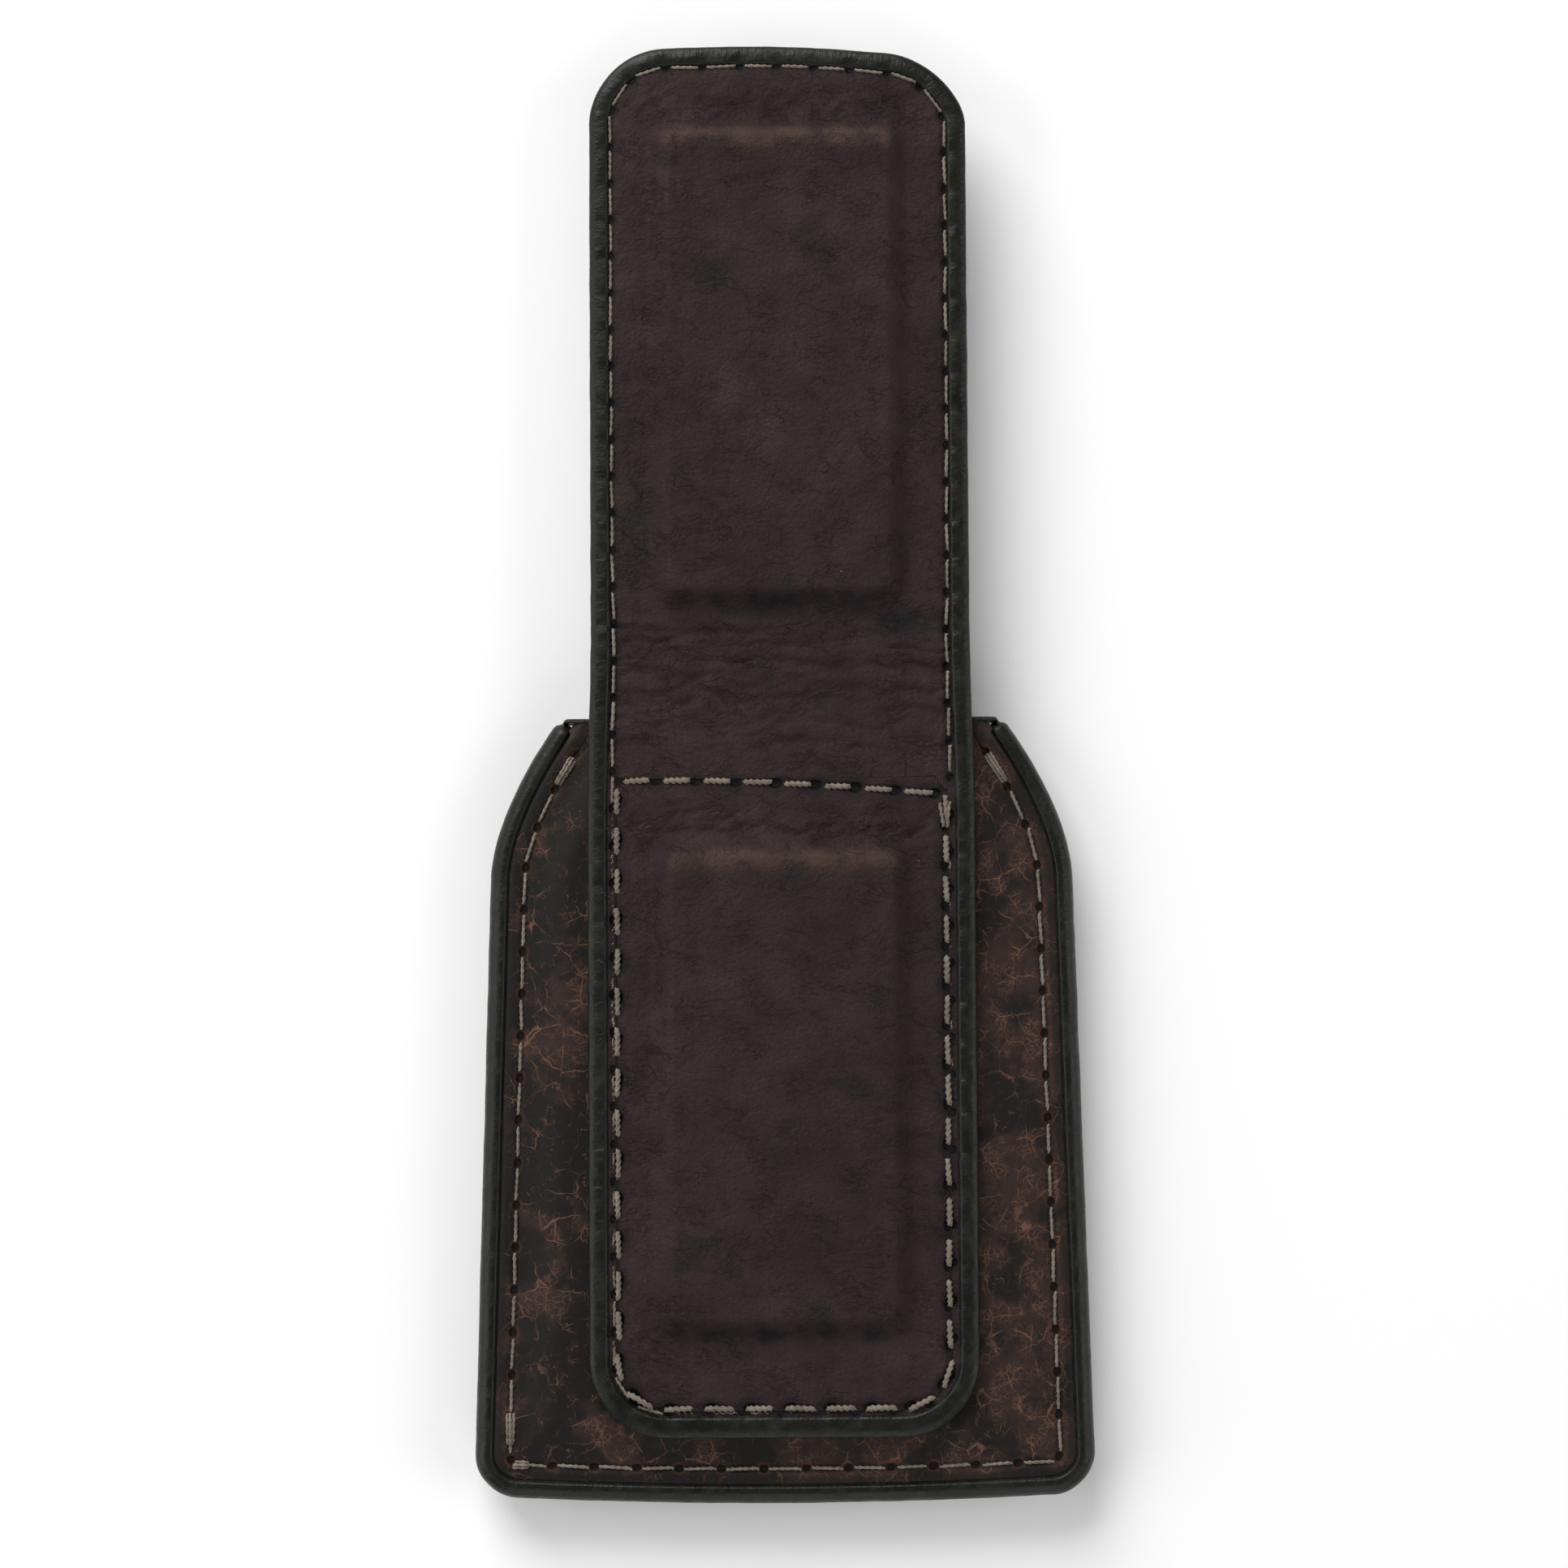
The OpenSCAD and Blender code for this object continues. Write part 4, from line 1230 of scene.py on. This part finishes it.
def seam_tree():
    """Geometry Nodes tree that lays twisted stitches along a path, one for each stitch length."""
    name = "twisted_seam"
    if name in bpy.data.node_groups:
        return bpy.data.node_groups[name]
    tree = bpy.data.node_groups.new(name, "GeometryNodeTree")
    face = tree.interface
    face.new_socket("Path", in_out="INPUT", socket_type="NodeSocketGeometry")
    for label, kind, value in (
            ("Stitch Length", "Float", 0.0045), ("Visible Share", "Float", 0.72), ("Thickness", "Float", 0.00045),
            ("Flatness", "Float", 0.8), ("Twist Length", "Float", 0.0014), ("Unevenness", "Float", 1.0),
            ("Stitch Count", "Int", 2), ("Plies", "Int", 2), ("Seed", "Int", 1)):
        face.new_socket(label, in_out="INPUT", socket_type="NodeSocket" + kind).default_value = value
    face.new_socket("Thread", in_out="INPUT", socket_type="NodeSocketMaterial")
    face.new_socket("Stitches", in_out="OUTPUT", socket_type="NodeSocketGeometry")
    source = put(tree, "NodeGroupInput", out=None)
    thickness, uneven, seed = source["Thickness"], source["Unevenness"], source["Seed"]

    # one stitch along X, whose ends dive into the leather and grow slimmer
    visible = put(tree, "ShaderNodeMath", source["Stitch Length"], source["Visible Share"], operation="MULTIPLY")
    ends = [put(tree, "ShaderNodeCombineXYZ", put(tree, "ShaderNodeMath", visible, half, operation="MULTIPLY"))
            for half in (-0.5, 0.5)]
    line = put(tree, "GeometryNodeCurvePrimitiveLine", {"Start": ends[0], "End": ends[1]})
    core = put(tree, "GeometryNodeResampleCurve", {"Curve": line, "Count": 13})
    share = put(tree, "GeometryNodeSplineParameter", out="Factor")
    from_middle = put(tree, "ShaderNodeMath", share, 2.0, -1.0, operation="MULTIPLY_ADD")
    from_middle = put(tree, "ShaderNodeMath", from_middle, operation="ABSOLUTE")
    dive = put(tree, "ShaderNodeMath", from_middle, 7.0, operation="POWER")
    dive = put(tree, "ShaderNodeMath", dive, thickness, operation="MULTIPLY")
    dive = put(tree, "ShaderNodeMath", dive, -0.75, operation="MULTIPLY")
    drop = put(tree, "ShaderNodeCombineXYZ", {"Z": dive})
    bent = put(tree, "GeometryNodeSetPosition", {"Geometry": core, "Offset": drop})
    turns = put(tree, "ShaderNodeMath", visible, source["Twist Length"], operation="DIVIDE")
    turns = put(tree, "ShaderNodeMath", turns, 2 * math.pi, operation="MULTIPLY")
    tilt = put(tree, "ShaderNodeMath", share, turns, operation="MULTIPLY")
    twisted = put(tree, "GeometryNodeSetCurveTilt", {"Curve": bent, "Tilt": tilt})
    slim = put(tree, "ShaderNodeMath", from_middle, 9.0, operation="POWER")
    slim = put(tree, "ShaderNodeMath", slim, -0.45, 1.0, operation="MULTIPLY_ADD")
    shaped = put(tree, "GeometryNodeSetCurveRadius", {"Curve": twisted, "Radius": slim})
    # lobed cross-section, one lobe for each ply
    sides = put(tree, "ShaderNodeMath", source["Plies"], 3.0, operation="MULTIPLY")
    ring = put(tree, "GeometryNodeCurvePrimitiveCircle", {"Resolution": sides, "Radius": 1.0})
    lobe = put(tree, "ShaderNodeMath", put(tree, "GeometryNodeInputIndex"), 2 * math.pi / 3, operation="MULTIPLY")
    lobe = put(tree, "ShaderNodeMath", lobe, operation="COSINE")
    lobe = put(tree, "ShaderNodeMath", lobe, 0.12, 0.41, operation="MULTIPLY_ADD")
    radius = put(tree, "ShaderNodeMath", lobe, thickness, operation="MULTIPLY")
    place = put(tree, "GeometryNodeInputPosition")
    scaled = put(tree, "ShaderNodeVectorMath", {0: place, "Scale": radius}, operation="SCALE")
    profile = put(tree, "GeometryNodeSetPosition", {"Geometry": ring, "Position": scaled})
    stitch = put(tree, "GeometryNodeCurveToMesh", {"Curve": shaped, "Profile Curve": profile, "Fill Caps": True})
    # a point for each stitch, headed along the path, each a little uneven in turn and size
    points, tangent, _, _ = put(tree, "GeometryNodeCurveToPoints",
                                {"Curve": source["Path"], "Count": source["Stitch Count"]}, out=None, mode="COUNT")
    turn_low, turn_high = (
        put(tree, "ShaderNodeCombineXYZ",
            {"X": roll, "Z": put(tree, "ShaderNodeMath", uneven, swing, operation="MULTIPLY")})
        for roll, swing in ((0.0, -0.055), (0.3, 0.055)))
    turn = put(tree, "FunctionNodeRandomValue", {0: turn_low, 1: turn_high, "Seed": seed}, data_type="FLOAT_VECTOR")
    heading = put(tree, "FunctionNodeAlignRotationToVector", {"Vector": tangent}, axis="X", pivot_axis="Z")
    facing = put(tree, "FunctionNodeRotateRotation", {"Rotation": heading, "Rotate By": turn},
                 rotation_space="LOCAL")
    size_low, size_high = (
        put(tree, "ShaderNodeCombineXYZ",
            {"X": long, "Y": wide, "Z": put(tree, "ShaderNodeMath", source["Flatness"], high, operation="MULTIPLY")})
        for long, wide, high in ((0.94, 0.92, 0.94), (1.05, 1.08, 1.0)))
    size = put(tree, "FunctionNodeRandomValue", {0: size_low, 1: size_high, "Seed": seed}, data_type="FLOAT_VECTOR")
    placed = put(tree, "GeometryNodeInstanceOnPoints", {"Points": points, "Instance": stitch, "Rotation": facing,
                                                        "Scale": size})
    real = put(tree, "GeometryNodeRealizeInstances", placed)
    shade = put(tree, "GeometryNodeSetShadeSmooth", real)
    coated = put(tree, "GeometryNodeSetMaterial", {"Geometry": shade, "Material": source["Thread"]})
    put(tree, "NodeGroupOutput", {"Stitches": coated}, out=None)
    return tree


def sew(paths, pitch, thickness, thread, seed, plies=2, twist=1.5, share=0.72):
    """Twisted stitches along 3D paths, as one plain mesh. Each path holds a whole number of stitches."""
    joined = bpy.data.meshes.new("seam")
    build = bmesh.new()
    tree = seam_tree()
    sockets = {s.name: s.identifier for s in tree.interface.items_tree if s.in_out == "INPUT"}
    for number, path in enumerate(paths):
        path = np.asarray(path, float)
        total = path_length(path)
        count = max(1, round(total / pitch))
        step = total / count
        # the points that the tree puts stitches on lie half a stitch from each end
        fine = even(path, 0.1)
        run = np.linspace(0, total, len(fine))
        at = np.linspace(step / 2, max(total - step / 2, step / 2 + 0.02), max(2, 8 * count))
        trimmed = np.stack([np.interp(at, run, fine[:, k]) for k in range(3)], 1) * MM
        curve = bpy.data.curves.new("seam_path", "CURVE")
        curve.dimensions = "3D"
        spline = curve.splines.new("POLY")
        spline.points.add(len(trimmed) - 1)
        spline.points.foreach_set("co", np.column_stack([trimmed, np.ones(len(trimmed))]).ravel())
        holder = bpy.data.objects.new("seam_path", curve)
        bpy.context.scene.collection.objects.link(holder)
        stitched = holder.modifiers.new("stitches", "NODES")
        stitched.node_group = tree
        for label, value in (("Stitch Length", step * MM), ("Stitch Count", count), ("Visible Share", share),
                             ("Thickness", thickness * MM), ("Twist Length", twist * MM),
                             ("Plies", plies), ("Seed", seed + number), ("Thread", thread)):
            stitched[sockets[label]] = value
        depsgraph = bpy.context.evaluated_depsgraph_get()
        made = bpy.data.meshes.new_from_object(holder.evaluated_get(depsgraph))
        build.from_mesh(made)
        holder.modifiers.remove(stitched)
        bpy.data.objects.remove(holder)
        bpy.data.curves.remove(curve)
        bpy.data.meshes.remove(made)
    build.to_mesh(joined)
    build.free()
    for p in joined.polygons:
        p.use_smooth = True
    co = np.zeros(len(joined.vertices) * 3, np.float32)
    joined.vertices.foreach_get("co", co)
    set_point_vectors(joined, "rest", co.reshape(-1, 3))
    return joined


def join(*meshes):
    """Several meshes as one."""
    build = bmesh.new()
    for mesh in meshes:
        build.from_mesh(mesh)
    made = bpy.data.meshes.new("stitches")
    build.to_mesh(made)
    build.free()
    return made


def stretch_between(mesh, low, high):
    """The stretch of a seam between two heights, its cut ends closed."""
    build = bmesh.new()
    build.from_mesh(mesh)
    for level, outwards in ((low, -1), (high, 1)):
        if level is None:
            continue
        geometry = build.verts[:] + build.edges[:] + build.faces[:]
        cut = bmesh.ops.bisect_plane(build, geom=geometry, plane_co=(0, level * MM, 0),
                                     plane_no=(0, outwards, 0), clear_outer=True)
        rim = [e for e in cut["geom_cut"] if isinstance(e, bmesh.types.BMEdge)]
        bmesh.ops.holes_fill(build, edges=rim, sides=0)
    made = bpy.data.meshes.new("stitches")
    build.to_mesh(made)
    build.free()
    return made


class CASE_OT_pocket_seam(bpy.types.Operator):
    """The pocket's seam on both faces, with its doubled stitches"""

    bl_idname = "case.pocket_seam"
    bl_label = "Pocket seam"

    def execute(self, context):
        shape = Pocket(context.scene.pocket_sizes)
        seams = context.scene.seam_sizes
        thread = material("twisted_polyester_thread", twisted_thread, context.scene.finishes)
        path = shape.sewing_line()
        d = seams.fine_thread / MM
        top = lay(path, shape.high - 0.02 + d * 0.1)
        under = lay(path, shape.low + 0.02 - d * 0.1)
        mesh = sew([top, under], seams.pocket_pitch / MM, d, thread, seams.seed)
        # the seam is sewn over itself where it starts, where it ends and at one corner
        total = path_length(path)
        step = total / round(total / (seams.pocket_pitch / MM))
        run = np.linspace(0, total, len(path))
        corner = np.argmin(np.hypot(path[:, 0] + shape.half_base, path[:, 1] - shape.bottom))
        at_corner = round(run[corner] / step)
        # three strands side by side, the middle one on top
        extra = []
        for stitch in (0, at_corner - 1, at_corner + 1, round(total / step) - 1):
            for offset, lift in ((-0.34, 0.03), (0.0, 0.22), (0.34, 0.05)):
                inside = (run >= (stitch + 0.06) * step) & (run <= (stitch + 0.9) * step)
                strand = path[inside] + normals_of(path)[inside] * offset
                extra.append(lay(strand, shape.high + d * 0.1 + lift))
        doubled = sew(extra, step, d, thread, seams.seed + 40, share=0.95)
        mesh = join(mesh, doubled)
        finish_piece(mesh, "pocket_stitches", thread, ["pocket_seam_thread"], "pocket")
        return {"FINISHED"}


class CASE_OT_clip_seams(bpy.types.Operator):
    """The strap's own fine seam and the heavier seam that joins it to the pocket"""

    bl_idname = "case.clip_seams"
    bl_label = "Clip seams"

    def execute(self, context):
        clip = Clip(context.scene.clip_sizes)
        seams = context.scene.seam_sizes
        thread = material("twisted_polyester_thread", twisted_thread, context.scene.finishes)
        d = seams.fine_thread / MM
        path = clip.seam()
        sunk = np.where(path[:, 0] > 0, 0.32, 0.22) * smooth((CUTS[0] - path[:, 1]) / 4)
        top = lay(path, clip.high - 0.02 - sunk)
        whole = sew([top], seams.strap_pitch / MM, d, thread, seams.seed + 11)
        under = lay(path, clip.low + 0.10 + 0.15 * in_fold(path[:, 1]))
        under_mesh = sew([under], seams.strap_pitch / MM, d, thread, seams.seed + 12)
        # the base shows its stitches on one face only, and what bends shows them on both
        parts = [stretch_between(whole, None, CUTS[0])]
        for low, high in zip(CUTS, CUTS[1:] + [None]):
            parts.append(join(*(stretch_between(m, low, high) for m in (whole, under_mesh))))
        strap_pieces(lambda part: part, thread, "stitches", ["clip_base_seam_thread"], "fold_thread",
                     ["flap_seam_thread"], parts)
        heavy = seams.heavy_thread / MM
        around = attach_path(clip)
        joined = sew([lay(around, clip.high + 0.03)], seams.attach_pitch / MM, heavy, thread,
                     seams.seed + 13, plies=3, twist=1.9, share=0.64)
        # the row's last stitch is sewn twice and spreads into a V
        corner = around[np.argmax(around[:, 0] + 0.2 * around[:, 1])]
        arms = [[corner + [top_x, -0.9], corner + [foot_x, -3.9]] for top_x, foot_x in ((-0.8, -0.2), (0.5, 0.1))]
        doubled = sew([lay(np.array(arm), clip.high + 0.2) for arm in arms], 3.1, heavy * 0.75, thread,
                      seams.seed + 60, share=0.96)
        joined = join(joined, doubled)
        finish_piece(joined, "attachment_stitches", thread, ["clip_attachment_thread"], "pocket")
        return {"FINISHED"}


# ---- stage -----------------------------------------------------------------------------

class CASE_OT_stage(bpy.types.Operator):
    """Pale floor, soft studio light and the camera"""

    bl_idname = "case.stage"
    bl_label = "Stage"

    def execute(self, context):
        scene = context.scene
        low, high = CAD_BOX
        made, tree = new_material("pale_floor")
        shader = put(tree, "ShaderNodeBsdfPrincipled",
                     {"Base Color": hex_to_linear("#f4f4f4"), "Roughness": 0.9, "Specular IOR Level": 0.1})
        put(tree, "ShaderNodeOutputMaterial", shader, out=None)
        mesh = bpy.data.meshes.new("floor")
        half_floor = 3.0
        mesh.from_pydata([(x * half_floor, y * half_floor, 0) for x, y in ((-1, -1), (1, -1), (1, 1), (-1, 1))],
                         [], [(0, 1, 2, 3)])
        mesh.materials.append(made)
        floor = bpy.data.objects.new("floor", mesh)
        scene.collection.objects.link(floor)
        floor.location.z = low.z - 0.1 * MM
        world = bpy.data.worlds.new("studio")
        world.use_nodes = True
        glow = world.node_tree.nodes["Background"].inputs
        glow["Color"].default_value, glow["Strength"].default_value = (1, 1, 1, 1), 0.10
        scene.world = world
        centre = (low + high) / 2
        for name, place, size, power in (
                ("key", (-0.35, 0.85, 0.62), 0.8, 14.5),
                ("fill_left", (-0.95, -0.1, 0.5), 0.9, 6.0),
                ("fill_right", (1.0, -0.15, 0.55), 0.9, 5.5),
                ("front", (0.1, -0.95, 0.5), 0.9, 4.2)):
            lamp = bpy.data.lights.new(name, "AREA")
            lamp.shape = "SQUARE"
            lamp.size = size
            lamp.energy = power
            holder = bpy.data.objects.new(name, lamp)
            scene.collection.objects.link(holder)
            holder.location = centre + Vector(place)
            holder.rotation_mode = "QUATERNION"
            holder.rotation_quaternion = (-Vector(place)).to_track_quat("-Z", "Y")
        self.camera(scene, high.z)
        scene.view_settings.view_transform = "Standard"
        return {"FINISHED"}

    @staticmethod
    def camera(scene, top):
        """The camera almost straight above, a little towards the pocket's end."""
        distance, tilt, roll = 0.60, math.radians(4.0), math.radians(0.35)
        frame_width = 0.1895
        aim = Vector((0.0001, -0.0019, top * 0.8))
        back = Vector((0, -math.sin(tilt), math.cos(tilt)))
        data = bpy.data.cameras.new("camera")
        data.sensor_width = 36.0
        data.lens = 36.0 * distance / frame_width
        data.clip_start, data.clip_end = 0.01, 20.0
        camera = bpy.data.objects.new("camera", data)
        scene.collection.objects.link(camera)
        camera.location = aim + back * distance
        camera.rotation_mode = "XYZ"
        camera.rotation_euler = (tilt, 0, -roll)
        scene.camera = camera


class CASE_PT_panel(bpy.types.Panel):
    """Lists the steps that build the card case"""

    bl_label = "Card case"
    bl_space_type = "VIEW_3D"
    bl_region_type = "UI"
    bl_category = "Card Case"

    def draw(self, context):
        for group in ("pocket_sizes", "clip_sizes", "seam_sizes", "finishes"):
            box = self.layout.box()
            settings = getattr(context.scene, group)
            for name in settings.bl_rna.properties.keys():
                if name not in ("rna_type", "name"):
                    box.prop(settings, name)
        for step in STEPS:
            self.layout.operator(step.bl_idname)


STEPS = (CASE_OT_pocket_panels, CASE_OT_pocket_edge, CASE_OT_pocket_welt, CASE_OT_pocket_seam,
         CASE_OT_clip_leather, CASE_OT_clip_lining, CASE_OT_clip_edge, CASE_OT_magnets,
         CASE_OT_clip_seams, CASE_OT_stage)
GROUPS = {"pocket_sizes": PocketSizes, "clip_sizes": ClipSizes, "seam_sizes": SeamSizes,
          "finishes": Finishes}


def register():
    """Registers the property groups, the operators and the panel."""
    for name, group in GROUPS.items():
        bpy.utils.register_class(group)
        setattr(bpy.types.Scene, name, PointerProperty(type=group))
    for step in STEPS + (CASE_PT_panel,):
        bpy.utils.register_class(step)


def unregister():
    """Takes them all out again."""
    for step in reversed(STEPS + (CASE_PT_panel,)):
        bpy.utils.unregister_class(step)
    for name, group in GROUPS.items():
        delattr(bpy.types.Scene, name)
        bpy.utils.unregister_class(group)


def main():
    """Builds the whole case in order."""
    register()
    for step in STEPS:
        area, verb = step.bl_idname.split(".")
        getattr(getattr(bpy.ops, area), verb)()


if __name__ == "__main__":
    main()
